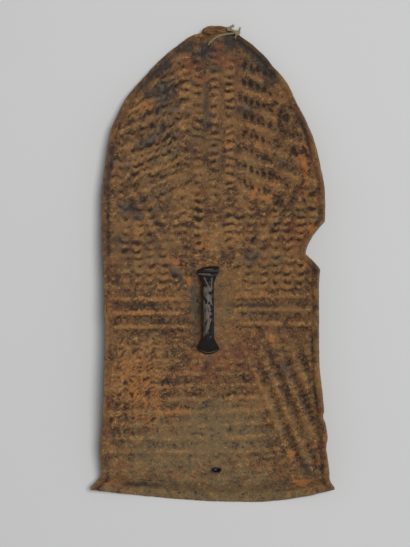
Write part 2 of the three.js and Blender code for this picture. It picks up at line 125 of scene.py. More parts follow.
# Grip: a leather strap rolled round in the middle, flared and thin where it enters its slits
GRIP = {"x": -10.5, "foot": 360, "head": 566, "half_width": 13.5, "half_thickness": 9.5}
ARCH = {"rise": 31, "power": 2.2, "steps": 16}
GRIP_END = {"half_width": 26, "half_thickness": 2.2, "flare_from": 0.58, "thin_from": 0.45, "thin_to": 0.96}
GRIP_BOW = {"foot": 9, "head": 3, "head_slant": 0.13}
TAB = {"half_width": 22, "tip_half_width": 14, "length": 30, "bend": 4.2, "gap": 0.9}
SLIT_CLEARANCE = 0.35

# Tie cord at the apex. The knot is a thick trefoil, and the tails keep square to one direction.
CORD_RADIUS = 2.4
CORD_GAP = 0.9
HOLE_RADIUS = 4.8
CORD_HOLE_LEFT = (-10, 1102)
CORD_HOLE_RIGHT = (54, 1119)
KNOT = {"x": 59, "y": 1129, "spread": (1.9, 1.8, 1.5), "radius": 2.4}
TAIL_ASIDE = (0.3, 0.1, 1)


def linear(red, green, blue):
    """Linear colour of a screen colour given from 0 to 255."""
    c = np.array([red, green, blue]) / 255
    return tuple(np.where(c < 0.04045, c / 12.92, ((c + 0.055) / 1.055) ** 2.4))


def smoothstep(value, low, high):
    """0 below low, 1 above high, and 3t^2 - 2t^3 between, where t is the share of the way."""
    t = np.clip((value - low) / (high - low), 0, 1)
    return t * t * (3 - 2 * t)


def band(value, edges):
    """1 between the two middle edges, with a smooth rise before them and a smooth fall after."""
    start, full, fade, end = edges
    return smoothstep(value, start, full) * (1 - smoothstep(value, fade, end))


def bump(t):
    """(1 - t^2)^2, which is 1 at 0, reaches 0 at 1 with no corner, and stays 0 beyond."""
    return np.clip(1 - t * t, 0, None) ** 2


def mix(a, b, share):
    return a + (b - a) * share


def curve_through(points):
    """Smooth curve through (t, value) points that never swings past them.

    Each piece is a cubic whose slope at a point is the harmonic mean of the slopes on its two sides,
    or zero where the run turns back.
    """
    t, value = np.array(points, float).T
    slopes = np.diff(value) / np.diff(t)
    before = np.concatenate([slopes[:1], slopes])
    after = np.concatenate([slopes, slopes[-1:]])
    same_way = before * after > 0
    tangents = np.where(same_way, 2 * before * after / np.where(same_way, before + after, 1), 0)

    def at(x):
        i = np.clip(np.searchsorted(t, x, side="right") - 1, 0, len(t) - 2)
        span = t[i + 1] - t[i]
        s = np.clip((x - t[i]) / span, 0, 1)
        lean = tangents[i] * (1 - s) - tangents[i + 1] * s
        return mix(value[i], value[i + 1], s * s * (3 - 2 * s)) + span * s * (1 - s) * lean

    return at


def clouds(x, y, size, seed, octaves=1):
    """Smooth random field from about -1 to 1, and a little beyond with more octaves.

    Random values on a turned square lattice with cells of the given size are joined by smoothsteps,
    and each further octave has half the size and half the strength.
    """
    table = np.random.default_rng(seed).uniform(-1, 1, (128, 128))
    total = 0
    for octave in range(octaves):
        cell = size / 2**octave
        across = (0.8 * x + 0.6 * y) / cell + 17.3 * octave
        along = (0.8 * y - 0.6 * x) / cell + 5.1 * octave
        i, j = np.floor(across).astype(int), np.floor(along).astype(int)
        s, t = smoothstep(across - i, 0, 1), smoothstep(along - j, 0, 1)
        near = mix(table[j % 128, i % 128], table[j % 128, (i + 1) % 128], s)
        far = mix(table[(j + 1) % 128, i % 128], table[(j + 1) % 128, (i + 1) % 128], s)
        total = total + mix(near, far, t) / 2**octave
    return total


left_run = curve_through(LEFT_EDGE)
right_run = curve_through(RIGHT_EDGE)


def flare_at(y):
    """How far the base corners flare out, 0 above the flare and 1 at the corner."""
    return np.clip((FLARE["top"] - y) / (FLARE["top"] - FLARE["corner"]), 0, 1)


def bite_depth(y):
    """Depth of the bite: a sine from its upper corner to its deepest point, and a power of the height
    from there to its lower corner, each raised to a power of its own."""
    upper = np.clip((BITE["top"] - y) / (BITE["top"] - BITE["deep"]), 0, 1)
    lower = np.clip((y - BITE["bottom"]) / (BITE["deep"] - BITE["bottom"]), 0, 1)
    shape = np.where(
        y < BITE["deep"], lower ** BITE["lower_power"], np.sin(np.pi / 2 * upper) ** BITE["upper_power"]
    )
    return BITE["depth"] * shape


def left_edge(y):
    return left_run(y) - FLARE["left"] * flare_at(y) ** FLARE["left_power"]


def right_edge(y):
    nick = NICK["depth"] * np.clip(1 - np.abs(y - NICK["y"]) / NICK["reach"], 0, None)
    return right_run(y) + FLARE["right"] * flare_at(y) ** FLARE["right_power"] - bite_depth(y) - nick


def base_edge(x):
    """Height of the base edge: a parabola on each side of its crown."""
    left = BASE_LEFT["rise"] * ((x - BASE_CROWN_X) / (BASE_LEFT["x"] - BASE_CROWN_X)) ** 2
    right = BASE_RIGHT["rise"] * ((x - BASE_CROWN_X) / (BASE_RIGHT["x"] - BASE_CROWN_X)) ** 2
    return np.where(x < BASE_CROWN_X, left, right)


row_numbers = np.cumsum([station[0] for station in ROW_STATIONS])
row_left, row_mid, row_right, row_crown = [
    curve_through([(n, station[column]) for n, station in zip(row_numbers, ROW_STATIONS)])
    for column in (1, 2, 3, 4)
]
LAST_ROW = row_numbers[-1]


def plan_point(u, row):
    """Plan position of the point that lies the share u across a row, which bows like two half
    parabolas that meet at its crown."""
    crown = row_crown(row)
    end = np.where(u < crown, row_left(row), row_right(row))
    span = np.where(u < crown, crown, 1 - crown)
    x = mix(left_edge(row_left(row)), right_edge(row_right(row)), u)
    return x, row_mid(row) - (row_mid(row) - end) * ((u - crown) / span) ** 2


def keel_lift(y):
    return KEEL["lift"] * (1 - smoothstep(y, KEEL["fall_from"], KEEL["fall_to"]))


def front_height(x, y):
    """Height of the front face: keel, parabolic dish beyond the keel, lip at the base, a slow warp of
    the sides, and the hollow behind the grip taken off."""
    lip = smoothstep(y - base_edge(x), LIP_FOOT, LIP_DEPTH)
    keel = keel_lift(y) * lip + APEX["lift"] * smoothstep(y, APEX["from"], APEX["to"])
    narrowing = smoothstep(y, BASE_KEEL["from"], BASE_KEEL["to"])
    side = np.clip(np.abs(x) - mix(BASE_KEEL["half_width"], KEEL["half_width"], narrowing), 0, None)
    warp = WARP["rise"] * (side / WARP["side"]) ** 2 * np.sin(y / WARP["length_y"] + x / WARP["length_x"])
    out = np.hypot((x - HOLLOW["x"]) / HOLLOW["half_width"], (y - HOLLOW["y"]) / HOLLOW["half_length"])
    hollow = HOLLOW["depth"] * bump(out)
    return np.clip(keel + side * side / (2 * DISH_RADIUS) + warp - hollow, 0, None)


def hide_normal(x, y):
    """Unit normal of the hide from central differences over 2 mm each way."""
    step = 2
    dx = front_height(x + step, y) - front_height(x - step, y)
    dy = front_height(x, y + step) - front_height(x, y - step)
    normal = np.stack([-dx, -dy, np.full_like(dx, 2 * step)], -1)
    return normal / np.linalg.norm(normal, axis=-1, keepdims=True)


def tongue_curl(x, y):
    """Curl of the apex tongue: a rounded rise past its root, with a crease before it."""
    from_left = smoothstep(x, TONGUE_SIDES["left"], TONGUE_SIDES["left_full"])
    to_right = 1 - TONGUE["side_fall"] * smoothstep(x, TONGUE_SIDES["right_full"], TONGUE_SIDES["right"])
    tip = TONGUE["tip_fall"] * smoothstep(y, TONGUE["crest"], TONGUE["top"])
    up = smoothstep(y, TONGUE["root"] - 1, TONGUE["crest"]) - tip
    crease = CREASE["depth"] * bump((y - TONGUE["root"]) / CREASE["reach"])
    return from_left * to_right * (TONGUE["rise"] * up - crease)


def edge_distance(x, y):
    """Distance from the nearer side edge, square to it, with its lean taken over 3 mm each way."""
    step = 3
    left_lean = (left_edge(y + step) - left_edge(y - step)) / (2 * step)
    right_lean = (right_edge(y + step) - right_edge(y - step)) / (2 * step)
    left = (x - left_edge(y)) / np.hypot(1, left_lean)
    right = (right_edge(y) - x) / np.hypot(1, right_lean)
    return np.minimum(left, right)


def hollow_distance(x, y):
    return np.hypot(x - HOLLOW["x"], (y - HOLLOW["y"]) * PLAIN["squeeze"])


def ray_at(x, y):
    """Distance across the ridges that run out from the head of the grip, alike on both sides."""
    out = STAR["middle_x"] - STAR["x"] - np.abs(x - STAR["middle_x"])
    return RAY["across"] * out + RAY["along"] * (y - STAR["y"])


def in_groove(edge):
    """1 in the middle of the groove inside the rim and 0 past its reach."""
    return bump((edge - RIM["groove_at"]) / RIM["groove_reach"])


def rim_profile(edge):
    """Raised rim with a groove inside it, by the distance from the edge."""
    rise = RIM["rise"] * (1 - smoothstep(edge, RIM["width"] * 0.5, RIM["width"] * 1.2))
    return rise - RIM["groove"] * in_groove(edge)


def fan_rows(x, y):
    """Number of the ridge of the fans, whole on a crest: the ridges fall from the middle to both sides."""
    return (y - FANS["crown"] + FANS["slope"] * np.abs(x - SPINE["x"])) / FANS["pitch"]


def furrow_rows(x, y):
    """Number of the furrow, whole on the crest beside it: the furrows lean away from the middle."""
    return (x - FURROWS["x"] - FURROWS["lean"] * (FURROWS["y"] - y)) / FURROWS["pitch"]


def furrowed_at(y, furrow):
    """1 where the furrows run, and 0 left of the first and above and below them all."""
    return band(y, FURROWS["band"]) * smoothstep(furrow, -0.5, 0)


def waist_rows(x, y):
    """Number of the band at the waist, whole on a crest: the bands lie a little higher on the right."""
    rise = WAIST["right_rise"] * smoothstep(x, -SPINE["half_width"], SPINE["half_width"])
    return (y - WAIST["crest"] - rise) / WAIST["pitch"]


def ridges(x, y, row):
    """Broad ridges: fans above, bands at the waist, rows and furrows below, and a star."""
    off_spine = np.abs(x - SPINE["x"])
    spine = bump(off_spine / SPINE["half_width"])
    sides = smoothstep(off_spine, FAN_SIDES["from"], FAN_SIDES["to"])
    fans = FANS["height"] * band(y, FANS["band"]) * sides * np.cos(2 * np.pi * fan_rows(x, y))
    furrow = furrow_rows(x, y)
    furrowed = furrowed_at(y, furrow)
    lower = LOWER_ROWS["height"] * band(y, LOWER_ROWS["band"]) * (1 - spine) * (1 - furrowed)
    waist = WAIST["height"] * band(y, WAIST["band"]) * np.cos(2 * np.pi * waist_rows(x, y))
    ray = ray_at(x, y)
    rays = bump(ray / RAY["reach"]) * np.cos(2 * np.pi * ray / RAY["pitch"])
    star = STAR["height"] * band(y, STAR["band"]) * rays
    beside = smoothstep(hollow_distance(x, y), PLAIN["from"], PLAIN["to"])
    furrows = FURROWS["height"] * furrowed * np.cos(2 * np.pi * furrow)
    return fans + lower * np.cos(np.pi * row) + furrows + beside * (waist + star)


# Tool marks. Each zone has its band of heights, the pitch of its rows and the pitch of its columns.
SPINE_COLUMNS = {
    "x": (-68, -37, 3, 41), "half_width": 18, "pitch": 20, "band": (560, 620, 1075, 1125),
    "sway": 3, "stagger": 0.37,
}
FAN_MARKS = {"band": (700, 765, 1085, 1130), "column_pitch": 17, "pit_pitch": 15.5, "right": (120, 165)}
EDGE_MARKS = {"band": (640, 680, 930, 990), "from": 195, "to": 222, "pitch": 18.5, "column_pitch": 22}
LOOSE_PITS = {"band": (590, 650, 990, 1050), "size": 17, "strength": 1.3}
MIDDLE_MARKS = {
    "band": (495, 520, 700, 770), "pitch": 19.3, "column_pitch": 30, "spine_reach": 90, "strength": 0.95,
}
WAIST_MARKS = {"column_pitch": 19, "strength": 0.5}
HERRINGBONE = {
    "band": (150, 200, 385, 410), "from": 80, "to": 140, "ragged": 24, "x": -235, "pitch": 17, "step": 14,
    "slant": 0.7, "chevrons": 0.55, "between": 0.16, "lumps": 0.4,
}
LOWER_MARKS = {"band": (215, 250, 385, 410), "pitch": 15.7, "column_pitch": 20, "strength": 0.6}
ROW_MARKS = {"band": (20, 60, 220, 260), "column_pitch": 26, "strength": 0.32}
FURROW_MARKS = {"step": 15.5, "slope": 0.45, "strength": 0.22}

# Random fields that move the marks along their columns and aside, as (strength, size, seed)
DRIFT = ((0.3, 60, 4), (0.24, 18, 14))
SHIFT = ((0.35, 40, 5), (0.3, 19, 15))


def wander(x, y, fields):
    """Sum of random fields, each times its strength."""
    return sum(strength * clouds(x, y, size, seed) for strength, size, seed in fields)


def raised(t):
    """Raised cosine, which is 1 at whole numbers and 0 halfway between."""
    return 0.5 + 0.5 * np.cos(2 * np.pi * t)


def ticks(rows):
    """Wave with broad crests at whole numbers and narrow troughs between: 1 - 2 sin(pi t)^4."""
    return 1 - 2 * np.sin(np.pi * rows) ** 4


def beads(rows, columns):
    """Lumps in rows and columns with a dark dash between one and the next: ticks along a column, bowed
    like a cosine across it, which fade between the columns like the root of a raised cosine."""
    bowed = rows + 0.11 * np.cos(2 * np.pi * columns)
    return ticks(bowed) * (0.04 + 0.96 * np.sqrt(raised(columns)))


def pits(rows, columns):
    """Pits at whole numbers of both, short along the rows' pitch: powers of raised cosines."""
    return -(raised(rows) ** 6) * raised(columns) ** 1.5


def upper_marks(x, y, drift, shift):
    """Marks above the waist: ticks in the columns of the spine, beads on the ridges of the left fan and
    at the left edge, pits in the troughs of the right fan, loose pits beyond, and beads below them."""
    spine, columns = 0, SPINE_COLUMNS
    for number, column_x in enumerate(columns["x"]):
        across = bump((x - column_x - columns["sway"] * shift) / columns["half_width"])
        spine = spine + across * ticks(y / columns["pitch"] + columns["stagger"] * number + drift)
    spine = spine * band(y, columns["band"])

    fans = FAN_MARKS
    rows = fan_rows(x, y) + 0.5 * drift
    aside = smoothstep(np.abs(x - SPINE["x"]), FAN_SIDES["from"], FAN_SIDES["to"])
    left = beads(2 * rows + 0.5 * drift, x / fans["column_pitch"] + shift) * (x < 0)
    right = 2 * pits(rows + 0.5, x / fans["pit_pitch"] + 0.5 * shift) + 0.25 * ticks(2 * rows)
    right = right * (x > 0) * (1 - smoothstep(x, *fans["right"]))
    fan = band(y, fans["band"]) * aside * (left + right)

    edge = EDGE_MARKS
    at_edge = smoothstep(-x, edge["from"], edge["to"]) * band(y, edge["band"])
    edge_beads = beads(y / edge["pitch"] + drift, x / edge["column_pitch"])

    loose = clouds(x, y, LOOSE_PITS["size"], seed=13, octaves=2)
    loose = -smoothstep(loose, 0.25, 0.8) - 0.5 * smoothstep(-loose, 0.5, 1)
    loose = loose * smoothstep(x, *fans["right"]) * band(y, LOOSE_PITS["band"])

    middle = MIDDLE_MARKS
    centre = beads(y / middle["pitch"] + 0.8 * drift, x / middle["column_pitch"] + 0.4 * shift)
    off_spine = 1 - 0.5 * bump((x - SPINE["x"]) / middle["spine_reach"])
    centre = centre * band(y, middle["band"]) * off_spine
    loose, centre = LOOSE_PITS["strength"] * loose, middle["strength"] * centre
    return spine + fan * (1 - at_edge) + at_edge * edge_beads + loose + centre


def lower_marks(x, y, row, drift, shift):
    """Marks at the waist and below: dashes in the bands, a herringbone in columns at the left, short
    ticks beside the smooth middle, ticks over the furrows, and beads in the long rows."""
    waist = band(y, WAIST["band"]) * beads(2 * waist_rows(x, y), x / WAIST_MARKS["column_pitch"] + shift)

    columns = HERRINGBONE
    number = (x - columns["x"]) / columns["pitch"] + 0.4 * shift
    slant = np.where(np.round(number) % 2 == 0, 1, -1) * (number - np.round(number)) * columns["pitch"]
    chevrons = ticks((y + columns["slant"] * slant) / columns["step"] + 3 * drift + 1.5 * shift)
    ragged = columns["ragged"] * clouds(x, y, 34, seed=17)
    at_left = smoothstep(ragged - x, columns["from"], columns["to"]) * band(y, columns["band"])
    between = columns["between"] * np.cos(2 * np.pi * number)
    lumps = columns["lumps"] * clouds(x * 2.2, y, 14, seed=16)
    weave = at_left * (columns["chevrons"] * chevrons + between + lumps)

    furrow = furrow_rows(x, y)
    furrowed = furrowed_at(y, furrow)
    over = furrowed * ticks((y - FURROW_MARKS["slope"] * x) / FURROW_MARKS["step"] + shift)

    short = LOWER_MARKS
    beside = beads(y / short["pitch"] + drift, x / short["column_pitch"] + shift)
    beside = beside * band(y, short["band"]) * (1 - at_left) * (1 - furrowed)
    long_rows = beads(row + 0.5 * drift, x / ROW_MARKS["column_pitch"] + shift)
    long_rows = long_rows * band(y, ROW_MARKS["band"]) * (1 - at_left) * (1 - furrowed)
    smooth = 1 - 0.8 * bump((x - SPINE["x"]) / SPINE["half_width"])
    return (
        weave + WAIST_MARKS["strength"] * waist + FURROW_MARKS["strength"] * over
        + smooth * (short["strength"] * beside + ROW_MARKS["strength"] * long_rows)
    )


def tool_marks(x, y, row):
    """Height, in shares of the mark depth, of the marks that a hand tool left: stronger here and weaker
    there, and none behind the grip."""
    drift, shift = wander(x, y, DRIFT), wander(x, y, SHIFT)
    strength = np.clip(1 + 0.7 * clouds(x, y, 42, seed=6), 0.3, 1.6)
    plain = smoothstep(hollow_distance(x, y), PLAIN["from"] * 0.85, PLAIN["to"])
    marks = upper_marks(x, y, drift, shift) + lower_marks(x, y, row, drift, shift)
    return np.clip(plain * strength * marks, -2, 1.5)


# Stains, worn places and painted shade of the hide as (x, y, half width, half height, lean in degrees,
# strength)
STAINS_AND_SHADE = [
    (-120, 890, 76, 84, 0, 0.46), (0, 1080, 74, 46, 0, 0.46), (-215, 790, 34, 90, 0, 0.3),
    # Painted shadow of the grip's shaft at (-40, 470), and painted shade round the worn hole at (9, 80)
    (-40, 470, 11, 62, 0, 0.6), (9, 80, 16, 9, 0, 1.4), (-140, 1010, 60, 30, 35, 0.3),
    (-150, 700, 100, 60, 0, 0.28), (-150, 590, 100, 50, 0, 0.34), (150, 470, 110, 46, 0, 0.3),
    (112, 1068, 14, 62, 42, 0.75), (-118, 1052, 12, 70, -48, 0.7), (48, 1108, 22, 12, 0, 0.8),
    (-62, 1094, 20, 12, 0, 0.6), (0, 850, 60, 70, 0, 0.34), (120, 590, 90, 40, 0, 0.26),
    (90, 1000, 60, 60, 0, 0.26),
    # Painted shade along the left cut edge at (-262, 690)
    (90, 300, 50, 90, 20, 0.22), (40, 370, 60, 30, 0, 0.26), (-262, 690, 8, 140, 0, 0.5),
    (-115, 984, 26, 34, -20, 0.8), (-16, 954, 12, 55, 0, 0.7), (-20, 1087, 14, 18, 0, 0.8),
    (8, 1043, 26, 12, 0, 0.5), (135, 1035, 12, 38, 35, 0.7), (218, 900, 9, 42, 20, 0.9),
    (48, 1111, 20, 14, 0, 1), (83, 944, 40, 16, 0, 0.5), (-159, 868, 38, 10, 25, 0.5),
    (-246, 813, 9, 60, -5, 0.8), (-199, 702, 30, 22, 0, 0.5), (203, 698, 32, 18, 0, 0.5),
    (246, 563, 14, 15, 0, 0.9), (-226, 622, 32, 34, 0, 0.45), (91, 594, 16, 18, 0, 0.5),
    # Painted shadow of the grip's shaft at (-47, 504)
    (-155, 476, 62, 6, 0, 0.7), (-83, 548, 11, 28, 40, 0.7), (-47, 504, 12, 42, 0, 0.75),
    # Painted shade below the grip's foot at (-12, 337)
    (-12, 337, 15, 16, 0, 0.6), (91, 476, 60, 5, 0, 0.5), (171, 318, 11, 34, 25, 0.6),
    (-171, 119, 22, 18, 0, 0.5), (-171, 44, 46, 8, 0, 0.8), (222, 91, 12, 22, 25, 0.7),
    # Painted shade along the left cut edge at (-260, 198)
    (266, 52, 14, 9, 0, 0.6), (-260, 198, 8, 30, 0, 0.7), (-52, 246, 22, 22, 0, 0.4),
]
OCHRE = [
    (-170, 290, 90, 110, 0, 0.34), (160, 760, 90, 90, 0, 0.22), (0, 60, 240, 50, 0, 0.16),
    (130, 420, 110, 60, 0, 0.22), (60, 640, 70, 50, 0, 0.2), (-150, 470, 90, 40, 0, 0.2),
    (-164, 953, 17, 11, 15, 1), (34, 862, 20, 20, 0, 0.7), (220, 812, 9, 46, 5, 0.9),
    (102, 745, 8, 26, -25, 0.8), (125, 733, 12, 15, 0, 0.5), (-138, 861, 32, 9, 25, 0.6),
    (234, 655, 9, 17, 15, 0.8), (-28, 622, 26, 18, 0, 0.5), (-99, 583, 26, 18, 0, 0.5),
    (-179, 646, 15, 10, 0, 0.7), (-185, 456, 62, 9, 0, 0.4), (-126, 492, 70, 8, 0, 0.34),
    (-190, 310, 62, 85, 0, 0.22), (-60, 536, 11, 26, 35, 0.8), (15, 462, 8, 10, 0, 1),
    (141, 397, 8, 10, 0, 0.9), (-79, 222, 36, 10, 0, 0.6), (208, 52, 16, 9, 0, 1.5),
    (-244, 486, 9, 32, 0, 0.5), (110, 290, 10, 44, 22, 0.5), (186, 120, 11, 12, 0, 0.6),
    (-134, 242, 10, 42, 0, 0.3), (0, 575, 60, 16, 0, 0.5), (120, 500, 80, 14, 0, 0.4),
]
RUSSET = [
    (8, 1077, 13, 20, 0, 1), (-32, 1022, 32, 20, 0, 0.6), (192, 640, 40, 44, 0, 0.7),
    (36, 1060, 34, 20, 0, 0.8), (-60, 1060, 40, 24, 0, 0.6), (6, 1100, 26, 14, 0, 0.9),
    (110, 860, 60, 60, 0, 0.35), (-173, 200, 64, 32, 0, 0.5),
    (-28, 318, 62, 40, 0, 0.5), (60, 358, 60, 40, 0, 0.6), (60, 990, 60, 50, 0, 0.4),
    (-230, 480, 20, 120, 0, 0.5), (150, 420, 90, 40, 0, 0.4), (0, 1139, 40, 8, 0, 0.6),
]
DUST = [
    (32, 178, 120, 90, 0, 0.9), (-70, 150, 190, 90, 0, 0.5), (-107, 838, 62, 40, 20, 0.6),
    (-126, 753, 64, 60, 0, 0.5),
    (91, 812, 62, 60, 0, 0.5), (10, 480, 40, 74, 0, 0.6), (100, 455, 110, 12, 0, 0.7),
    (0, 40, 270, 44, 0, 0.7), (0, 6, 280, 20, 0, 1.3), (-120, 120, 120, 60, 0, 0.5),
    (110, 650, 60, 60, 0, 0.3),
]

# Grids of the hide. The underside has one cell for each block of cells of the grip side.
HIDE_COLUMNS = 192
HIDE_ROWS = 420
UNDERSIDE_SHARE = 3
EDGE_LOOPS = 3
EDGE_ROUND = 2.6

# How far the middle of the cut edge stands out, and how far it wanders from that
CUT_UNEVEN = 0.9

# Shares of the ridges, the marks and the lumps in the tone, and the fall and raggedness of a stain's oval
TONE = {"ridges": 0.33, "marks": 0.95, "lumps": 0.45, "limit": 1.5}
OVAL = {"fall": 1.2, "ragged": 0.55, "size": 16}


def patches(x, y, places, seed):
    """Sum of soft leaning ovals with ragged borders, from 0 to 1: each is its strength times
    exp(-1.2 r^2), where r is 1 on the oval and is stretched by a random field."""
    ragged = 1 + OVAL["ragged"] * clouds(x, y, OVAL["size"], seed, octaves=3)
    total = 0
    for place_x, place_y, half_width, half_height, lean, strength in places:
        turn = np.radians(lean)
        across = (x - place_x) * np.cos(turn) + (y - place_y) * np.sin(turn)
        along = (y - place_y) * np.cos(turn) - (x - place_x) * np.sin(turn)
        radius = (across / half_width) ** 2 + (along / half_height) ** 2
        total = total + strength * np.exp(-OVAL["fall"] * radius * np.clip(ragged, 0.3, 2))
    return np.clip(total, 0, 1)


def mesh_object(name, points, faces, attributes=None):
    """Puts points in millimetres of the hide's own frame, and faces of 3 or 4 corners, into a mesh."""
    mesh = bpy.data.meshes.new(name)
    mesh.vertices.add(len(points))
    mesh.vertices.foreach_set("co", ((points + TO_FRAME) * MM).astype(np.float32).ravel())
    corners = np.concatenate([np.asarray(group).ravel() for group in faces])
    counts = np.concatenate([np.full(len(group), np.asarray(group).shape[1]) for group in faces])
    mesh.loops.add(len(corners))
    mesh.loops.foreach_set("vertex_index", corners.astype(np.int32))
    mesh.polygons.add(len(counts))
    mesh.polygons.foreach_set("loop_start", (np.cumsum(counts) - counts).astype(np.int32))
    mesh.polygons.foreach_set("use_smooth", np.ones(len(counts), bool))
    for key, values in (attributes or {}).items():
        mesh.attributes.new(key, "FLOAT", "POINT").data.foreach_set("value", values.astype(np.float32))
    mesh.update(calc_edges=True)
    if mesh.validate():
        raise RuntimeError(f"the mesh of {name} had faces that had to be mended")
    piece = bpy.data.objects.new(name, mesh)
    bpy.context.scene.collection.objects.link(piece)
    return piece


hide_low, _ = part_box("hide_board")
TO_FRAME = np.array([hide_low.x / MM - left_edge(BASE_LEFT["rise"]), hide_low.y / MM, 0])


def grid_indices(columns, rows, first=0):
    return first + np.arange((columns + 1) * (rows + 1)).reshape(rows + 1, columns + 1)


def grid_faces(index):
    """Cells of a grid of vertex numbers, anticlockwise seen from above."""
    corners = [index[:-1, :-1], index[:-1, 1:], index[1:, 1:], index[1:, :-1]]
    return np.stack([c.ravel() for c in corners], -1)


def grid_border(index):
    """Border of a grid of vertex numbers, anticlockwise from its first corner."""
    return np.concatenate([index[0, :-1], index[:-1, -1], index[-1, :0:-1], index[:0:-1, 0]])


def hide_grid(columns, rows):
    """Plan positions and row numbers of a grid over the hide."""
    u, row = np.meshgrid(np.linspace(0, 1, columns + 1), np.linspace(0, LAST_ROW, rows + 1))
    x, y = plan_point(u, row)
    return x.ravel(), y.ravel(), row.ravel()


def grip_side(x, y, row, settings):
    """Points of the grip side and the tone of its tooling, from -1.5 in a trough to 1.5 on a crest.

    A point lies the thickness, the broad ridges, the rim, the tool marks and the grain away from the
    front face, along its normal. Near the border the height falls like a quarter circle.
    """
    edge = edge_distance(x, y)
    inside = smoothstep(edge, RIM["width"], RIM["width"] + PLAIN["inside_rim"])
    broad = ridges(x, y, row)
    marks = tool_marks(x, y, row)
    lumps = clouds(x, y, 10, seed=8, octaves=2)
    border = np.minimum(np.minimum(edge, y - base_edge(x)), TONGUE["top"] - y)
    short = np.clip(1 - border / EDGE_ROUND, 0, 1)
    rounding = EDGE_ROUND * 0.55 * (1 - np.sqrt(1 - short**2))
    height = HIDE_THICKNESS + rim_profile(edge) - rounding + settings.grain_depth / MM * lumps
    height = height + inside * (broad + settings.mark_depth / MM * marks)
    points = np.stack([x, y, front_height(x, y) + tongue_curl(x, y)], -1)
    points = points + hide_normal(x, y) * height[:, None]
    # Tone: lighter on the crests and darker in the troughs, partly worn and greasy hide and partly painted
    # light and shade of the relief
    tone = inside * (TONE["ridges"] * broad + TONE["marks"] * marks) + TONE["lumps"] * lumps
    tone = tone - in_groove(edge) * np.clip(0.2 + clouds(x, y, 60, seed=10), 0, 1)
    return points, np.clip(tone, -TONE["limit"], TONE["limit"])


def front_side(x, y):
    """Points of the front face, with half the curl of the tongue, and with shallow bruises."""
    bruises = np.abs(0.4 * clouds(x, y, 24, seed=11, octaves=2))
    return np.stack([x, y, front_height(x, y) + 0.5 * tongue_curl(x, y) + bruises], -1)


def cut_edge(upper, lower, loops):
    """Loops down the cut edge: each lies a share of the way from the grip side to the front face, and
    outwards by a sine of that share, made uneven by a random field."""
    run = np.roll(upper, -1, axis=0) - np.roll(upper, 1, axis=0)
    outward = np.stack([run[:, 1], -run[:, 0], np.zeros(len(run))], -1)
    outward /= np.linalg.norm(outward, axis=1, keepdims=True)
    rings = []
    for share in np.linspace(0, 1, loops + 2)[1:-1]:
        uneven = CUT_UNEVEN + CUT_UNEVEN * clouds(upper[:, 0] + 40 * share, upper[:, 1], 7, seed=12)
        rings.append(mix(upper, lower, share) + outward * (uneven * np.sin(np.pi * share))[:, None])
    return rings


def hide_masks(x, y):
    """Where the hide is stained or painted with shade, and where it is ochre, russet, dusty and polished,
    each from 0 to 1.
    """
    return {
        "stain_and_shade": patches(x, y, STAINS_AND_SHADE, seed=21),
        "ochre": patches(x, y, OCHRE, seed=22),
        "russet": patches(x, y, RUSSET, seed=23),
        "dust": patches(x, y, DUST, seed=24),
        "polish": 1 - smoothstep(hollow_distance(x, y), 34, 56),
    }


def hide_mesh(settings):
    """The closed skin: fine grip side, coarse front face, and loops down the cut edge between them."""
    x, y, row = hide_grid(HIDE_COLUMNS, HIDE_ROWS)
    top, tone = grip_side(x, y, row, settings)
    index = grid_indices(HIDE_COLUMNS, HIDE_ROWS)
    rim = grid_border(index)
    below = front_side(x, y)
    rings = cut_edge(top[rim], below[rim], EDGE_LOOPS)
    size = len(rim)

    coarse_columns, coarse_rows = HIDE_COLUMNS // UNDERSIDE_SHARE, HIDE_ROWS // UNDERSIDE_SHARE
    under_index = grid_indices(coarse_columns, coarse_rows, first=len(top) + EDGE_LOOPS * size)
    under_x, under_y, _ = hide_grid(coarse_columns, coarse_rows)
    under = front_side(under_x, under_y)

    loops = [rim] + [len(top) + n * size + np.arange(size) for n in range(EDGE_LOOPS)]
    strips = [
        np.stack([high, low, np.roll(low, -1), np.roll(high, -1)], -1)
        for high, low in zip(loops[:-1], loops[1:])
    ]
    low = grid_border(under_index)
    low_next = np.roll(low, -1)
    high = np.concatenate([loops[-1], loops[-1][:1]])
    first = np.arange(0, size, UNDERSIDE_SHARE)
    joins = [
        np.stack([high[first], low, high[first + 1]], -1),
        np.stack([high[first + 1], low, low_next], -1),
        np.stack([high[first + 1], low_next, high[first + 2]], -1),
        np.stack([high[first + 2], low_next, high[first + 3]], -1),
    ]
    points = np.concatenate([top, *rings, under])
    masks = hide_masks(points[:, 0], points[:, 1])
    masks["tone"] = np.concatenate([tone, np.zeros(len(points) - len(tone))])
    masks["cut"] = np.concatenate([np.zeros(len(top)), np.ones(EDGE_LOOPS * size), np.zeros(len(under))])
    masks["cut"][rim] = 0.9
    masks["front"] = np.concatenate([np.zeros(len(top) + EDGE_LOOPS * size), np.ones(len(under))])
    faces = [grid_faces(index), *strips, *joins, grid_faces(under_index)[:, ::-1]]
    return mesh_object("hide", points, faces, masks)


def loft(rings):
    """Points and faces of a closed skin over rings of equal count, with a fan of triangles at each end.

    The rings are an array of ring, point and coordinate, and run anticlockwise seen from their end.
    """
    count, sides = rings.shape[:2]
    index = np.arange(count * sides).reshape(count, sides)
    after = np.roll(index, -1, axis=1)
    walls = np.stack([index[:-1], after[:-1], after[1:], index[1:]], -1).reshape(-1, 4)
    start = np.stack([np.full(sides - 2, index[0, 0]), index[0, 2:], index[0, 1:-1]], -1)
    end = np.stack([np.full(sides - 2, index[-1, 0]), index[-1, 1:-1], index[-1, 2:]], -1)
    return rings.reshape(-1, 3), [walls, start, end]


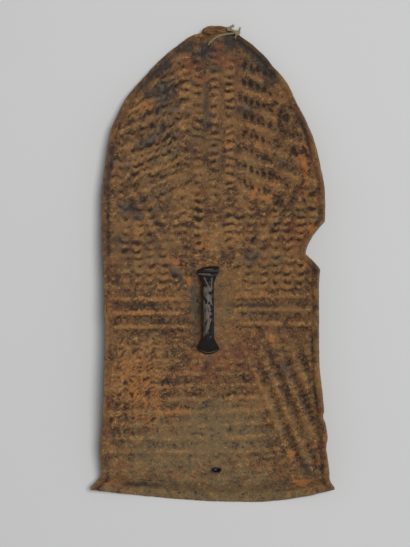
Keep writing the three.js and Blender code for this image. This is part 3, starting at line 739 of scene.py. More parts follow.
def tab_stations(slit_y, outward):
    """Stations (y, z, half width, half thickness, end) from the slit to the tip of the tab that lies
    against the front of the hide: down the slit, round a quarter bend, and along the front face."""
    front = front_height(np.array(GRIP["x"]), np.array(slit_y))
    lowered = TAB["gap"] + GRIP_END["half_thickness"]
    turn = np.pi / 2 * np.array([0.15, 0.5, 0.85])
    reach = np.array([TAB["bend"] + 4, TAB["length"] * 0.8, TAB["length"]])
    y = slit_y + outward * np.concatenate([[0], TAB["bend"] * (1 - np.cos(turn)), reach])
    flat_z = front_height(np.full(3, GRIP["x"]), slit_y + outward * reach) - lowered
    bend_z = front - lowered + TAB["bend"] * (1 - np.sin(turn))
    z = np.concatenate([[front + HIDE_THICKNESS * 0.6], bend_z, flat_z])
    bend_width, width = TAB["half_width"] + 2, TAB["half_width"]
    half_width = [width + 3, bend_width, bend_width, bend_width, width, width, TAB["tip_half_width"]]
    thickness = np.full(7, GRIP_END["half_thickness"])
    return np.stack([y, z, half_width, thickness, np.full(7, float(outward))], -1)


def grip_stations():
    """Stations of the strap's middle line from one tab over a superelliptic arch to the other."""
    middle, half_length = (GRIP["foot"] + GRIP["head"]) / 2, (GRIP["head"] - GRIP["foot"]) / 2
    turn = np.pi * (1 - np.arange(ARCH["steps"] + 1) / ARCH["steps"])
    reach = np.sign(np.cos(turn)) * np.abs(np.cos(turn)) ** (2 / ARCH["power"])
    y = middle + reach * half_length
    flare = smoothstep(np.abs(reach), GRIP_END["flare_from"], 1)
    thinning = smoothstep(np.abs(reach), GRIP_END["thin_from"], GRIP_END["thin_to"])
    z = keel_lift(y) + HIDE_THICKNESS + ARCH["rise"] * np.abs(np.sin(turn)) ** (2 / ARCH["power"])
    half_width = mix(GRIP["half_width"], GRIP_END["half_width"], flare)
    half_thickness = mix(GRIP["half_thickness"], GRIP_END["half_thickness"], thinning)
    arch = np.stack([y, z, half_width, half_thickness, flare * np.sign(reach)], -1)
    return np.concatenate([tab_stations(GRIP["foot"], -1)[::-1], arch, tab_stations(GRIP["head"], 1)])


def oval_angles(sides):
    """Angles round an oval of the strap, from its right side by way of its underside."""
    return np.linspace(2 * np.pi, 0, sides, endpoint=False)


def strap_rings(stations, sides, grow=0.0, swell=0.0):
    """Ovals square to the middle line, bowed and slanted at the ends of the strap.

    grow widens an oval both ways, and swell moves each of its points along the oval's normal.
    """
    y, z, half_width, half_thickness, end = stations.T[:, :, None]
    run = np.gradient(np.concatenate([y, z], 1), axis=0)
    run /= np.linalg.norm(run, axis=1, keepdims=True)
    across, up = np.cos(oval_angles(sides))[None], np.sin(oval_angles(sides))[None]
    normal = np.stack([across / (half_width + grow), up / (half_thickness + grow)])
    normal /= np.linalg.norm(normal, axis=0)
    dx = (half_width + grow) * across + normal[0] * swell
    rise = (half_thickness + grow) * up + normal[1] * swell
    bow = -end * np.where(end < 0, GRIP_BOW["foot"], GRIP_BOW["head"])
    shift = bow * (dx / half_width) ** 2 + GRIP_BOW["head_slant"] * np.clip(end, 0, None) * dx
    rings = [GRIP["x"] + dx, y + shift - run[:, 1:] * rise, z + run[:, :1] * rise]
    return np.stack(np.broadcast_arrays(*rings), -1)


# Cutters of the hide: the stations of the strap about each slit, counted from its two ends, and the plug
# of a hole with its levels over the front face
SLIT_STATIONS = (slice(2, 10), slice(-10, -2))
SLIT_SIDES = 24
PLUG = {"sides": 32, "low": -3, "high": 10, "ragged": 0.12}

# Painted shade inside the holes: a stain value past the range of the other stains, which the finish paints
# nearly black
HOLE_SHADE = {"reach": 1.15, "stain_and_shade": 1.5}
SHARP_ANGLE = 55


def cut_hide(hide):
    """Cuts the two slits, the two cord holes and the worn hole through the hide, and paints shade inside
    the cord holes and the worn hole.
    """
    stations = grip_stations()
    solids = [
        loft(strap_rings(stations[part], SLIT_SIDES, grow=SLIT_CLEARANCE)) for part in SLIT_STATIONS
    ]
    worn = WORN_HOLE
    plugs = [
        (*CORD_HOLE_LEFT, HOLE_RADIUS, HOLE_RADIUS, 1), (*CORD_HOLE_RIGHT, HOLE_RADIUS, HOLE_RADIUS, 1),
        (worn["x"], worn["y"], worn["half_width"], worn["half_height"], worn["low_share"]),
    ]
    angle = np.linspace(0, 2 * np.pi, PLUG["sides"], endpoint=False)
    for x, y, half_width, half_height, low_share in plugs:
        ragged = 1 + PLUG["ragged"] * clouds(x + 9 * np.cos(angle), y + 9 * np.sin(angle), 7, seed=31)
        ring_x = x + half_width * ragged * np.cos(angle)
        ring_y = y + half_height * ragged * np.sin(angle)
        ring = np.stack([ring_x, ring_y], -1)
        low_ring = mix(np.array([x, y]), ring, low_share)
        middle = float(front_height(np.array(float(x)), np.array(float(y))))
        plans = ((low_ring, PLUG["low"]), (ring, PLUG["high"]))
        solids.append(loft(np.stack([np.insert(plan, 2, middle + z, axis=1) for plan, z in plans])))
    for points, faces in solids:
        cutter = mesh_object("cutter", points, faces)
        cut = hide.modifiers.new("cut", "BOOLEAN")
        cut.operation, cut.solver, cut.object = "DIFFERENCE", "MANIFOLD", cutter
        bpy.context.view_layer.objects.active = hide
        bpy.ops.object.modifier_apply(modifier=cut.name)
        bpy.data.objects.remove(cutter)
    hide.data.set_sharp_from_angle(angle=np.radians(SHARP_ANGLE))
    points = np.empty(3 * len(hide.data.vertices), np.float32)
    hide.data.vertices.foreach_get("co", points)
    x, y, _ = (points.reshape(-1, 3) / MM - TO_FRAME).T
    stain_and_shade = np.empty(len(x), np.float32)
    hide.data.attributes["stain_and_shade"].data.foreach_get("value", stain_and_shade)
    # Painted shade: the walls and rims of the cord holes and the worn hole get a stain value that the
    # finish paints nearly black
    for hole_x, hole_y, half_width, half_height, _ in plugs:
        out = np.hypot((x - hole_x) / half_width, (y - hole_y) / half_height)
        stain_and_shade = np.where(out < HOLE_SHADE["reach"], HOLE_SHADE["stain_and_shade"], stain_and_shade)
    hide.data.attributes["stain_and_shade"].data.foreach_set("value", stain_and_shade.astype(np.float32))


# Marks of the grip as (x from the middle of the strap, y, half width, half height): holes and cracks,
# dented, left out of the painted highlight and painted dark as shade
GRIP_HOLES = [
    (4, 505, 5, 3.6), (-6, 485, 4, 6), (1.6, 481, 3.6, 3.4), (8.8, 471.5, 4.4, 4), (6, 476, 3, 2.4),
    (8.5, 462, 4, 4), (8.8, 448, 4.4, 5), (7.5, 430, 3.4, 10), (6, 412, 5, 14), (-1, 538, 4, 6),
    (-9.5, 492, 3.4, 5), (10.5, 490, 3, 4), (-3.5, 441, 1.6, 3), (11, 509, 2.6, 5),
]
HOLE_DENT = 2.2
GRIP_LINE = {"x": -8.5, "reach": 1.3, "band": (380, 390, 480, 490), "depth": 0.9}
SEAM = {"angle": 42, "reach": 13, "band": (376, 392, 540, 552), "depth": 1.1}
FLUTES = {"count": 9, "half_width": 29, "phase": 0.6, "from": 366, "to": 396, "height": 0.35}
# Folds of the head, with a painted highlight on them and painted shade in the gaps between
HEAD_FOLDS = {"y": 555.5, "upper": 5.6, "lower": -5.4, "half": 2.7, "gap": 3.2, "rise": 1.5}
# Lip of the foot, raised and with a painted highlight along it
FOOT_LIP = {"y": 364.6, "reach": 1.9, "rise": 1.4}
# Two streaks of painted highlight below the head
NECK = {"band": (508, 515, 543, 549), "left": -10.3, "lean": 0.46, "right": 8.8, "half": 3.8}
FOOT_SHADE = {"x": -8, "y": 402, "slope": 1.8}
# Band of painted highlight on the shaft: its left and right sides, where it widens, and where it ends at
# the top
SHAFT = {"left": (-13, -10), "right": (2.5, 10), "widens": (424, 452), "top": (514, 524)}

# Length of the strap from each tip that lies hidden, and the length past which its folds are full
TAB_RUN = (48, 60)
GRIP_SIDES = 72
GRIP_STEPS = 330


def distance_along(points):
    """Distance of each point of a run from the first."""
    return np.concatenate([[0], np.cumsum(np.linalg.norm(np.diff(points, axis=0), axis=1))])


def read_along(points, length, places):
    """Smooth run through points at their lengths, read at the given places."""
    return np.stack([curve_through(np.stack([length, column], -1))(places) for column in points.T], -1)


def grip_mesh(settings):
    """The strap: ovals along a smooth run of stations, swollen by folds, wrinkles, cracks and a seam."""
    stations = grip_stations()
    length = np.concatenate([[0], np.cumsum(np.hypot(*np.diff(stations[:, :2], axis=0).T))])
    run = np.linspace(0, length[-1], GRIP_STEPS)
    smooth = read_along(stations, length, run)
    plain = strap_rings(smooth, GRIP_SIDES)
    x, y = plain[..., 0] - GRIP["x"], plain[..., 1]
    angle = np.degrees(oval_angles(GRIP_SIDES))[None]
    top = smoothstep(np.sin(np.radians(angle)), -0.1, 0.3) * np.ones_like(x)
    hidden, clear = TAB_RUN
    on_arch = band(run, (hidden, clear, length[-1] - clear, length[-1] - hidden))[:, None]
    level = smooth[:, :1]

    folds = HEAD_FOLDS
    fold = y - folds["y"]
    gap = sum(bump((fold - at) / folds["gap"]) for at in (2 * folds["lower"], 0, 2 * folds["upper"]))
    upper = bump((fold - folds["upper"]) / folds["half"]) * smoothstep(x, -13, -8)
    lower = bump((fold - folds["lower"]) / folds["half"]) * (1 - smoothstep(x, 4, 9))
    fold_shape = folds["rise"] * (upper + lower - gap)
    lip = bump((level - FOOT_LIP["y"]) / FOOT_LIP["reach"]) * np.ones_like(x)

    holes = sum(
        bump(np.hypot((x - hole_x) / width, (y - hole_y) / height) / 1.25)
        for hole_x, hole_y, width, height in GRIP_HOLES
    )
    line = bump((x - GRIP_LINE["x"]) / GRIP_LINE["reach"]) * band(y, GRIP_LINE["band"])
    seam = bump((angle - SEAM["angle"]) / SEAM["reach"])
    seam = seam * band(y, SEAM["band"]) * (1 + 0.4 * clouds(y, 0 * y, 9, seed=43))
    around = np.arcsin(np.clip(x / FLUTES["half_width"], -1, 1))
    flutes = np.cos(FLUTES["count"] * around + FLUTES["phase"])
    flutes = flutes * (1 - smoothstep(level, FLUTES["from"], FLUTES["to"]))
    wrinkle = clouds(y * 1.6, x * 0.8, 6, seed=41, octaves=2) + 0.8 * clouds(y * 2.4, x * 0.35, 9, seed=42)
    foot_lip = FOOT_LIP["rise"] * lip
    swell = on_arch * (
        top * (fold_shape + foot_lip - HOLE_DENT * np.clip(holes, 0, 1) - GRIP_LINE["depth"] * line)
        - SEAM["depth"] * seam + FLUTES["height"] * flutes * top
    ) + settings.wrinkle_depth / MM * wrinkle
    rings = strap_rings(smooth, GRIP_SIDES, swell=swell)

    # Painted highlight on the top of the strap: a band on the shaft that stops short of the foot, streaks
    # at the neck, the tops of the head folds and the lip of the foot
    right = mix(*SHAFT["right"], smoothstep(y, *SHAFT["widens"]))
    shaft = smoothstep(x, *SHAFT["left"]) * (1 - smoothstep(x - right, -1.5, 2.5))
    shaft = shaft * (1 - smoothstep(y, *SHAFT["top"]))
    shaft = shaft * smoothstep(y - FOOT_SHADE["y"] - FOOT_SHADE["slope"] * (x - FOOT_SHADE["x"]), -4, 6)
    streaks = 0.85 + 0.6 * clouds(x * 2.2, y * 0.6, 6, seed=44, octaves=2)
    head_light = (upper + lower) * smoothstep(clouds(x, y, 8, seed=45), -1, -0.3)
    lean = NECK["left"] + NECK["lean"] * (NECK["band"][2] - y)
    neck = bump((x - lean) / NECK["half"]) + bump((x - NECK["right"]) / NECK["half"])
    neck = neck * band(y, NECK["band"])
    shine = np.clip(shaft * streaks + 0.9 * neck, 0, 1) * (1 - np.clip(holes + line, 0, 1))
    # The first attribute is the painted highlight; the second marks dark cracks and seam and the painted
    # shade of the dents and fold gaps
    attributes = {
        "painted_highlight": np.clip(shine + head_light + 1.1 * lip * (np.abs(x) < 21), 0, 1) * top,
        "crack_and_shade": np.clip(1.3 * holes + 0.8 * line + 0.9 * gap * top + 0.8 * seam, 0, 1),
    }
    points, faces = loft(rings)
    return mesh_object("strap_grip", points, faces, {k: v.ravel() for k, v in attributes.items()})


def path_through(points, count):
    """Points spaced evenly along a smooth curve through the given points."""
    points = np.array(points, float)
    length = distance_along(points)
    return read_along(points, length, np.linspace(0, length[-1], count))


def tube(path, radius, sides, aside, phase=0.0):
    """Rings of a round section along a path. Each ring is square to the path, and starts from the
    direction that is square to both the path and aside."""
    run = np.gradient(path, axis=0)
    run /= np.linalg.norm(run, axis=1, keepdims=True)
    out = np.cross(run, np.asarray(aside, float))
    out /= np.linalg.norm(out, axis=1, keepdims=True)
    over = np.cross(run, out)
    angle = (2 * np.pi * np.arange(sides) / sides)[None, :, None] + np.reshape(phase, (-1, 1, 1))
    radius = np.reshape(radius, (-1, 1, 1))
    return path[:, None] + radius * (np.cos(angle) * out[:, None] + np.sin(angle) * over[:, None])


def twisted(path, settings, aside, taper=1.0):
    """Two plies laid round each other: each follows a helix round the path, half a turn from the
    other, and its radius swells and thins a little along its run."""
    length = distance_along(path)
    turn = 2 * np.pi * length / (settings.lay / MM)
    ply = settings.ply_radius / MM * taper
    rings = []
    for number in range(2):
        helix = tube(path, ply * 0.85, 1, aside, phase=turn + np.pi * number)[:, 0]
        uneven = ply * (1 + 0.1 * clouds(length, 0 * length + 50 * number, 4, seed=51))
        rings.append(tube(helix, uneven, 10, aside, phase=turn))
    return rings


def frayed(start, run, settings, count, seed):
    """Loose fibres of a cut end: thin tubes from one place that spread as a square of their length."""
    random = np.random.default_rng(seed)
    run = np.array(run, float)
    rings = []
    for _ in range(count):
        t = np.linspace(0, 1, 7)[:, None]
        spread = random.normal(0, 1, 3) * [2.6, 2.6, 1.5]
        length = random.uniform(0.7, 1.25)
        path = start + random.normal(0, 0.7, 3) * [1, 1, 0.6] + run * length * t + spread * t**2
        radius = settings.fibre_radius / MM * np.linspace(1.2, 0.5, 7)
        rings.append(tube(path, radius, 5, TAIL_ASIDE))
    return rings


def cord_mesh(settings):
    """The tie cord: from its knot down the right hole, along the front, up the left hole and back over
    the grip side to the knot, which two frayed tails leave."""
    clear = CORD_RADIUS + CORD_GAP

    def level(x, y):
        x, y = np.array(float(x)), np.array(float(y))
        return float(front_height(x, y)), float(front_height(x, y) + HIDE_THICKNESS + tongue_curl(x, y))

    def over(x, y, lift=0):
        return (x, y, level(x, y)[1] + clear + lift)

    def below(x, y):
        return (x, y, level(x, y)[0] - clear)

    def at_hole(hole, depth):
        return (*hole, level(*hole)[0] + depth)

    (left_x, left_y), (right_x, right_y) = CORD_HOLE_LEFT, CORD_HOLE_RIGHT
    knot = np.array(over(KNOT["x"], KNOT["y"], 4))
    route = [
        knot, over(right_x + 1.5, right_y + 3.5, 2), at_hole(CORD_HOLE_RIGHT, HIDE_THICKNESS),
        at_hole(CORD_HOLE_RIGHT, -0.8), below(right_x - 6, right_y - 1.2), below(22, 1110.5),
        below(left_x + 6, left_y + 1.2), at_hole(CORD_HOLE_LEFT, -0.8),
        at_hole(CORD_HOLE_LEFT, HIDE_THICKNESS),
        over(left_x + 3, left_y + 4, 1), over(6, 1117, 1), over(30, 1126, 2), knot,
    ]
    across = np.array([left_y - KNOT["y"], KNOT["x"] - left_x, 0])
    parts = twisted(path_through(route, 420), settings, across)

    t = np.linspace(0, 2 * np.pi, 121)
    trefoil = np.stack([np.sin(t) + 2 * np.sin(2 * t), np.cos(t) - 2 * np.cos(2 * t), -np.sin(3 * t)], -1)
    parts.append(tube(knot + trefoil * KNOT["spread"], KNOT["radius"], 12, (0.05, 0.02, 1)))
    upper_route = [knot, over(46, 1134, 5), over(37, 1135, 6), over(41, 1141, 6), over(50, 1144, 5)]
    upper = path_through(upper_route, 80)
    side = path_through([knot, over(64, 1133, 3), over(65, 1137, 4)], 36)
    for tail, taper in ((upper, 1.2), (side, 0.85)):
        parts += twisted(tail, settings, TAIL_ASIDE, taper=taper)
    parts += frayed(upper[-8], (2.5, 3, 1), settings, settings.fibre_count, seed=61)
    parts += frayed(side[-5], (0.5, 4.5, 0.6), settings, settings.fibre_count // 2, seed=62)

    points, faces, along, first = [], [], [], 0
    for rings in parts:
        part_points, part_faces = loft(rings)
        points.append(part_points)
        faces += [group + first for group in part_faces]
        along.append(np.repeat(np.linspace(0, 1, len(rings)), rings.shape[1]))
        first += len(part_points)
    return mesh_object("cord", np.concatenate(points), faces, {"along": np.concatenate(along)})


class Value:
    """An output socket of a finish. Arithmetic on it adds Math nodes."""

    def __init__(self, finish, socket):
        self.finish = finish
        self.socket = socket

    def math(self, operation, first, second):
        return self.finish.node("ShaderNodeMath", {"operation": operation}, {0: first, 1: second})

    def __add__(self, other):
        return self.math("ADD", self, other)

    def __radd__(self, other):
        return self.math("ADD", other, self)

    def __sub__(self, other):
        return self.math("SUBTRACT", self, other)

    def __rsub__(self, other):
        return self.math("SUBTRACT", other, self)

    def __mul__(self, other):
        return self.math("MULTIPLY", self, other)

    def __rmul__(self, other):
        return self.math("MULTIPLY", other, self)


class Finish:
    """A material that is put together node by node."""

    def __init__(self, name):
        self.material = bpy.data.materials.new(name)
        self.material.use_nodes = True
        self.tree = self.material.node_tree
        self.tree.nodes.clear()

    def node(self, kind, settings=None, inputs=None, output=0):
        """Adds a node of that kind, sets its settings, fills its sockets and gives one of its outputs."""
        node = self.tree.nodes.new(kind)
        for key, value in (settings or {}).items():
            setattr(node, key, value)
        for key, value in (inputs or {}).items():
            if isinstance(value, Value):
                self.tree.links.new(value.socket, node.inputs[key])
            else:
                node.inputs[key].default_value = value
        return Value(self, node.outputs[output]) if node.outputs else None

    def place(self, scale=(1, 1, 1)):
        """Object coordinates, stretched by the given scale."""
        coordinates = self.node("ShaderNodeTexCoord", output="Object")
        return self.node("ShaderNodeMapping", inputs={"Vector": coordinates, "Scale": scale})

    def attribute(self, name):
        return self.node("ShaderNodeAttribute", {"attribute_name": name}, output="Fac")

    def noise(self, place, size, detail=2.0, roughness=0.5, distortion=0.0):
        """Noise from 0 to 1 with features of the given size in metres."""
        inputs = {
            "Vector": place, "Scale": 1 / size, "Detail": detail, "Roughness": roughness,
            "Distortion": distortion,
        }
        return self.node("ShaderNodeTexNoise", inputs=inputs)

    def cells(self, place, size, feature="F1"):
        """Distance to the nearest of scattered points, in shares of the given size in metres."""
        return self.node("ShaderNodeTexVoronoi", {"feature": feature}, {"Vector": place, "Scale": 1 / size})

    def step(self, value, low, high):
        """0 at low and 1 at high, with a smoothstep between."""
        inputs = {"Value": value, "From Min": low, "From Max": high}
        return self.node("ShaderNodeMapRange", {"interpolation_type": "SMOOTHSTEP"}, inputs)

    def blend(self, mask, first, second):
        """The first colour where the mask is 0 and the second where it is 1."""
        sockets = [
            colour if isinstance(colour, Value) else (*colour, 1.0) for colour in (first, second)
        ]
        inputs = {0: mask, 6: sockets[0], 7: sockets[1]}
        return self.node("ShaderNodeMix", {"data_type": "RGBA"}, inputs, output=2)

    def coats(self, base, layers):
        """Lays colours over the base in turn, each where its mask is 1."""
        for mask, coat in layers:
            base = self.blend(mask, base, coat)
        return base

    def surface(self, base, roughness, height=None, distance=0.001, **sockets):
        """Ends the material in a Principled shader, with a bump where a height is given."""
        inputs = {"Base Color": base, "Roughness": roughness, **sockets}
        if height is not None:
            inputs["Normal"] = self.node("ShaderNodeBump", inputs={"Height": height, "Distance": distance})
        shader = self.node("ShaderNodeBsdfPrincipled", inputs=inputs)
        self.node("ShaderNodeOutputMaterial", inputs={"Surface": shader})
        return self.material


def rawhide(settings):
    """Tanned hide: brown mottled in three sizes, lighter on the crests of the tooling and darker in its
    troughs, partly worn to tan and greasy and partly as painted light and shade of the relief, stained,
    dusty, ochre and russet where its masks say so, with painted shade in the holes and a painted grey
    highlight on stained crests."""
    finish = Finish("rawhide")
    place = finish.place()
    broad = finish.noise(place, 0.06, 3, 0.55)
    spots = finish.noise(place, 0.017, 3, 0.6)
    grain = finish.noise(place, 0.0055, 4, 0.65)
    fibre = finish.noise(finish.place((1, 0.35, 1)), 0.004, 3, 0.6)
    flecks = finish.noise(place, 0.0075, 2, 0.5, 0.6)
    pores = finish.cells(place, 0.0028)

    speck = finish.noise(place, 0.0026, 2, 0.6)
    tone = finish.attribute("tone") + 1.6 * (spots - 0.5) + 2.4 * (grain - 0.5) + 2.3 * (speck - 0.5)
    # crest and trough: partly worn and greasy hide, partly painted light and shade of the tooling's relief
    crest = finish.step(tone, 0.1, 1.2)
    trough = 1 - finish.step(tone, -1.1, -0.1)

    mottled = finish.step(0.4 * spots + 0.35 * grain + 0.25 * speck, 0.42, 0.56)
    rust = finish.step(finish.noise(place, 0.026, 4, 0.62, 0.4), 0.52, 0.68)
    olive = finish.step(finish.noise(place, 0.033, 4, 0.62, 0.4), 0.54, 0.68)
    russet = finish.step(finish.attribute("russet") + 1.1 * (spots - 0.5) + 0.5 * (broad - 0.5), 0.15, 0.85)
    dust = finish.step(finish.attribute("dust") + 0.9 * (flecks - 0.5), 0.2, 0.95)
    ochre = finish.step(finish.attribute("ochre") + 1.3 * (grain - 0.5) + 0.8 * (spots - 0.5), 0.2, 0.8)
    yellow = finish.step(flecks, 0.53, 0.66) * finish.step(speck, 0.42, 0.6) * finish.step(tone, -0.2, 0.8)
    stain_and_shade = finish.step(finish.attribute("stain_and_shade") + 1.0 * (spots - 0.5) + 0.7 * (grain - 0.5), 0.15, 0.85)
    polish, cut = finish.attribute("polish"), finish.attribute("cut")
    # inside: painted shade of the holes, where the stain value passes the other stains
    inside = finish.step(finish.attribute("stain_and_shade"), 1.1, 1.4)
    plain = finish.blend(mottled, settings.umber, settings.brown)
    front = finish.blend(finish.step(broad, 0.45, 0.7) * 0.5, plain, settings.russet)
    base = finish.coats(plain, [
        (finish.step(broad, 0.42, 0.62) * 0.45, settings.tan),
        (rust * 0.42, settings.russet),
        (olive * 0.5, settings.dust),
        (russet * 0.65, settings.russet),
        (dust * 0.7, settings.dust),
        # Crests: worn tan, and also painted light of the relief
        (crest * 0.78, settings.tan),
        (ochre * 0.8, settings.ochre),
        (yellow * 0.6, settings.fleck),
        # Troughs: grease, and also painted shade of the relief
        (trough * 0.86, settings.grime_and_shade),
        # Stains, with the painted shadow and shade that the stain mask also holds
        (stain_and_shade * 0.78, settings.stain_and_shade),
        # Painted grey highlight on the crests of the stained places
        (stain_and_shade * finish.step(tone, 0.2, 1.1) * 0.7, settings.painted_crest_highlight),
        (polish * finish.step(fibre, 0.35, 0.65) * 0.5, settings.dust),
        # Painted shade inside the holes
        (inside * 0.9, settings.hole),
        (cut * finish.step(fibre, 0.3, 0.6) * 0.7, settings.cut),
        (finish.attribute("front"), front),
    ])

    roughness = 0.56 + 0.3 * (grain - 0.5) - 0.1 * crest + 0.14 * trough - 0.08 * polish
    height = 0.7 * grain + 0.3 * spots + 0.55 * speck + 0.18 * finish.step(pores, 0.0, 0.5) + 0.15 * fibre
    return finish.surface(base, roughness, height, 0.0032, **{"Specular IOR Level": 0.4})


def black_leather(settings):
    """Greasy black leather with a grey brown highlight painted on the top of the grip, dark in its cracks
    and seam, and painted dark as shade in its dents and fold gaps.
    """
    finish = Finish("black_leather")
    place = finish.place()
    grain = finish.noise(place, 0.0022, 4, 0.6)
    spots = finish.noise(place, 0.009, 3, 0.6)
    streaks = finish.noise(finish.place((1, 0.18, 1)), 0.0035, 3, 0.6)
    creases = finish.cells(finish.place((1, 0.6, 1)), 0.0042, "DISTANCE_TO_EDGE")

    # Painted highlight on the top of the grip, broken up by streaks and spots
    painted_highlight = finish.step(finish.attribute("painted_highlight") + 0.7 * (streaks - 0.5) + 0.4 * (spots - 0.5), 0.25, 0.95)
    # Dark cracks and seam, and painted shade in the dents and fold gaps
    crack_and_shade = finish.step(finish.attribute("crack_and_shade") + 0.5 * (grain - 0.5), 0.25, 0.7)
    base = finish.coats(settings.black, [
        (finish.step(spots, 0.4, 0.7) * 0.5, settings.brown),
        # Painted highlight
        (painted_highlight * 0.85, settings.painted_highlight),
        # Paler streaks of the painted highlight
        (painted_highlight * finish.step(streaks, 0.5, 0.7) * 0.45, settings.worn),
        # Cracks and seam, and painted shade in the dents and fold gaps
        (crack_and_shade * 0.92, settings.crack_and_shade),
    ])
    roughness = 0.38 + 0.22 * (grain - 0.5) + 0.14 * painted_highlight + 0.3 * crack_and_shade
    height = 0.5 * grain + 0.35 * finish.step(creases, 0.0, 0.18) + 0.3 * streaks - 0.5 * crack_and_shade
    return finish.surface(base, roughness, height, 0.0007, **{"Specular IOR Level": 0.5})


def plant_fibre(settings):
    """Two-ply cord of dry plant fibre: grey beige with pale strands, and dirty at random."""
    finish = Finish("plant_fibre")
    place = finish.place()
    strands = finish.noise(finish.place((0.5, 1, 1)), 0.0009, 3, 0.6)
    dirt = finish.noise(place, 0.006, 3, 0.6)
    base = finish.blend(finish.step(strands, 0.35, 0.65), settings.shade, settings.straw)
    base = finish.blend(finish.step(dirt, 0.55, 0.72) * 0.6, base, settings.dirt)
    base = finish.blend(finish.step(dirt, 0.28, 0.42), settings.yellow, base)
    roughness = 0.85 + 0.1 * (strands - 0.5)
    return finish.surface(base, roughness, strands, 0.0005, **{"Specular IOR Level": 0.2})


def plain_floor(settings):
    """Matt pale grey, very slightly mottled."""
    finish = Finish("floor")
    patch = finish.noise(finish.place(), 0.5, 2, 0.5)
    lighter = tuple(c * 1.03 for c in settings.floor)
    return finish.surface(finish.blend(patch, settings.floor, lighter), 0.9, **{"Specular IOR Level": 0.1})


def colour(name, description, red, green, blue):
    return FloatVectorProperty(
        name=name, description=description, subtype="COLOR", size=3, min=0, max=1,
        default=linear(red, green, blue),
    )


def length(name, description, millimetres):
    return FloatProperty(
        name=name, description=description, unit="LENGTH", precision=5, min=0, default=millimetres * MM
    )


class HideSettings(bpy.types.PropertyGroup):
    mark_depth: length("Mark depth", "Height of the tool marks, over and under the ridges", 1.8)
    grain_depth: length("Grain depth", "Height of the uneven grain of the hide", 0.55)
    brown: colour("Brown", "Hide in its usual colour", 114, 79, 45)
    umber: colour("Umber", "Darker mottling", 70, 48, 32)
    # Tan: the broad lighter mottling, and the crests, which are partly worn and partly painted light
    tan: colour("Tan", "Worn crests of the tooling", 166, 120, 68)
    ochre: colour("Ochre", "Places worn through to orange", 184, 117, 59)
    fleck: colour("Fleck", "Small yellow flecks", 214, 168, 96)
    russet: colour("Russet", "Reddish places", 128, 64, 38)
    dust: colour("Dust", "Dusty olive places", 128, 107, 73)
    # Grime and painted shade in the troughs
    grime_and_shade: colour("Grime", "Grease in the troughs", 34, 26, 22)
    # Blue black of the stains and of the painted shadow and shade
    stain_and_shade: colour("Stain", "Blue black stains", 40, 38, 38)
    # Painted shade inside the holes
    hole: colour("Hole", "Inside of the holes and slits", 12, 10, 9)
    # Painted grey highlight on the crests of the stained places
    painted_crest_highlight: colour("Wax", "Grey shine on the crests of the stained places", 104, 95, 84)
    cut: colour("Cut edge", "Hide at its cut edge", 156, 122, 84)


class GripSettings(bpy.types.PropertyGroup):
    wrinkle_depth: length("Wrinkle depth", "Height of the wrinkles of the leather", 0.32)
    black: colour("Black", "Greasy leather", 17, 16, 16)
    brown: colour("Brown", "Leather where the black has worn thin", 44, 37, 31)
    # Painted highlight where the light catches the top of the grip
    painted_highlight: colour("Sheen", "Leather rubbed by the hand", 110, 97, 82)
    worn: colour("Worn", "Pale streaks of the rubbed leather", 146, 130, 110)
    # Paler streaks of the painted highlight
    crack_and_shade: colour("Crack", "Cracks and holes", 5, 5, 6)
# Cracks and seam, and painted shade in the dents and fold gaps


class CordSettings(bpy.types.PropertyGroup):
    ply_radius: length("Ply radius", "Radius of one of the two plies", 1.45)
    lay: length("Lay", "Length in which a ply goes round once", 10)
    fibre_radius: length("Fibre radius", "Radius of a loose fibre", 0.4)
    fibre_count: IntProperty(
        name="Fibres", description="Loose fibres of the longer tail", min=2, default=34
    )
    straw: colour("Straw", "Pale strands", 184, 170, 136)
    shade: colour("Shade", "Darker strands", 124, 112, 86)
    yellow: colour("Yellow", "Yellowish strands", 140, 116, 66)
    dirt: colour("Dirt", "Dirty places", 66, 60, 50)


class StageSettings(bpy.types.PropertyGroup):
    camera_height: length("Camera height", "Height of the camera over the floor", 2850)
    view_height: length("View height", "Height of the picture at the floor", 1323.7)
    centre_x: FloatProperty(
        name="Centre X", description="Middle of the picture, across", unit="LENGTH", default=-0.0179
    )
    centre_y: FloatProperty(
        name="Centre Y", description="Middle of the picture, along", unit="LENGTH", default=-0.0224
    )
    floor: colour("Floor", "Matt pale floor", 226, 226, 225)
    key_power: FloatProperty(
        name="Key power", description="Power of the soft key light", unit="POWER", default=330
    )
    fill: FloatProperty(
        name="Fill", description="Strength of the light from all around", min=0, default=0.23
    )


# Stage, in metres: the soft key light, which is turned to the middle of the shield, the colour of the
# light from all around, half the floor's width and its drop under the shield, and the camera's reach
KEY_PLACE = (1.9, 1.0, 7.4)
KEY_SIZE = 3.2
FILL_COLOUR = (0.96, 0.98, 1, 1)
FLOOR_HALF = 30
FLOOR_DROP = 0.0004
SENSOR_WIDTH = 36
CLIP_END = 50


def settings_of(context, name):
    return getattr(context.scene, f"shield_{name}")


def finish_piece(piece, node, material):
    """Gives a piece its finish, stands it in for its CAD node and lets it ride with the part."""
    piece.data.materials.clear()
    piece.data.materials.append(material)
    piece.data.polygons.foreach_set("material_index", np.zeros(len(piece.data.polygons), np.int32))
    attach(piece, "root")
    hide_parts(node)


class SHIELD_OT_hide(bpy.types.Operator):
    """Add the tooled hide with its cut edge, slits and holes"""

    bl_idname = "shield.hide"
    bl_label = "Hide"

    def execute(self, context):
        settings = settings_of(context, "hide")
        piece = hide_mesh(settings)
        cut_hide(piece)
        finish_piece(piece, "hide_board", rawhide(settings))
        return {"FINISHED"}


class SHIELD_OT_grip(bpy.types.Operator):
    """Add the leather grip that passes through the two slits"""

    bl_idname = "shield.grip"
    bl_label = "Grip"

    def execute(self, context):
        settings = settings_of(context, "grip")
        finish_piece(grip_mesh(settings), "grip", black_leather(settings))
        return {"FINISHED"}


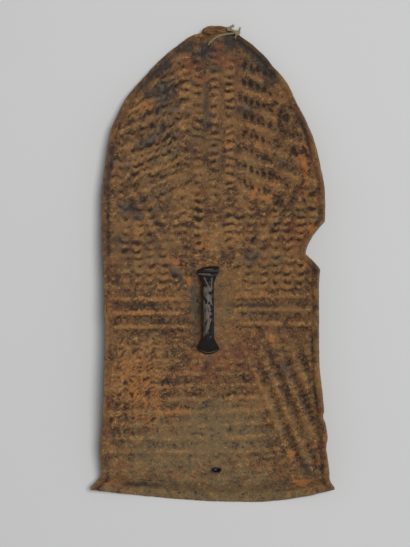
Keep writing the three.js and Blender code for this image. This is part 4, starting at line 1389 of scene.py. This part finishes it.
class SHIELD_OT_cord(bpy.types.Operator):
    """Add the knotted tie cord at the apex"""

    bl_idname = "shield.cord"
    bl_label = "Tie cord"

    def execute(self, context):
        settings = settings_of(context, "cord")
        finish_piece(cord_mesh(settings), "tie_cord", plant_fibre(settings))
        return {"FINISHED"}


class SHIELD_OT_stage(bpy.types.Operator):
    """Add the floor, the soft lights and the camera"""

    bl_idname = "shield.stage"
    bl_label = "Stage"

    def execute(self, context):
        settings = settings_of(context, "stage")
        scene = context.scene
        half, z = FLOOR_HALF, -FLOOR_DROP
        corners = np.array([(-half, -half, z), (half, -half, z), (half, half, z), (-half, half, z)]) / MM
        floor = mesh_object("floor", corners - TO_FRAME, [np.array([[0, 1, 2, 3]])])
        floor.data.materials.append(plain_floor(settings))

        key = bpy.data.lights.new("key", "AREA")
        key.shape, key.size = "DISK", KEY_SIZE
        key.energy = settings.key_power
        lamp = bpy.data.objects.new("key", key)
        lamp.location = KEY_PLACE
        lamp.rotation_euler = (-lamp.location).to_track_quat("-Z", "Y").to_euler()
        scene.collection.objects.link(lamp)

        world = bpy.data.worlds.new("soft light")
        world.use_nodes = True
        background = world.node_tree.nodes["Background"]
        background.inputs["Color"].default_value = FILL_COLOUR
        background.inputs["Strength"].default_value = settings.fill
        scene.world = world

        lens = bpy.data.cameras.new("camera")
        lens.sensor_width = SENSOR_WIDTH
        lens.lens = lens.sensor_width * settings.camera_height / settings.view_height
        lens.clip_end = CLIP_END
        camera = bpy.data.objects.new("camera", lens)
        camera.location = (settings.centre_x, settings.centre_y, settings.camera_height)
        scene.collection.objects.link(camera)
        scene.camera = camera
        scene.view_settings.view_transform = "Standard"
        return {"FINISHED"}


class SHIELD_PT_panel(bpy.types.Panel):
    bl_label = "Hide Shield"
    bl_idname = "SHIELD_PT_panel"
    bl_space_type = "VIEW_3D"
    bl_region_type = "UI"
    bl_category = "Hide Shield"

    def draw(self, context):
        for name, operator in OPERATORS.items():
            box = self.layout.box()
            settings = settings_of(context, name)
            for key in settings.__annotations__:
                box.prop(settings, key)
            box.operator(operator.bl_idname)


GROUPS = {"stage": StageSettings, "hide": HideSettings, "grip": GripSettings, "cord": CordSettings}
OPERATORS = {
    "stage": SHIELD_OT_stage, "hide": SHIELD_OT_hide, "grip": SHIELD_OT_grip, "cord": SHIELD_OT_cord,
}


def register():
    for name, group in GROUPS.items():
        bpy.utils.register_class(group)
        setattr(bpy.types.Scene, f"shield_{name}", PointerProperty(type=group))
    for entry in (*OPERATORS.values(), SHIELD_PT_panel):
        bpy.utils.register_class(entry)


def unregister():
    for entry in (SHIELD_PT_panel, *reversed(OPERATORS.values())):
        bpy.utils.unregister_class(entry)
    for name, group in reversed(GROUPS.items()):
        delattr(bpy.types.Scene, f"shield_{name}")
        bpy.utils.unregister_class(group)


def main():
    """Registers the classes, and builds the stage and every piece."""
    register()
    for name in OPERATORS:
        getattr(bpy.ops.shield, name)()


if __name__ == "__main__":
    main()
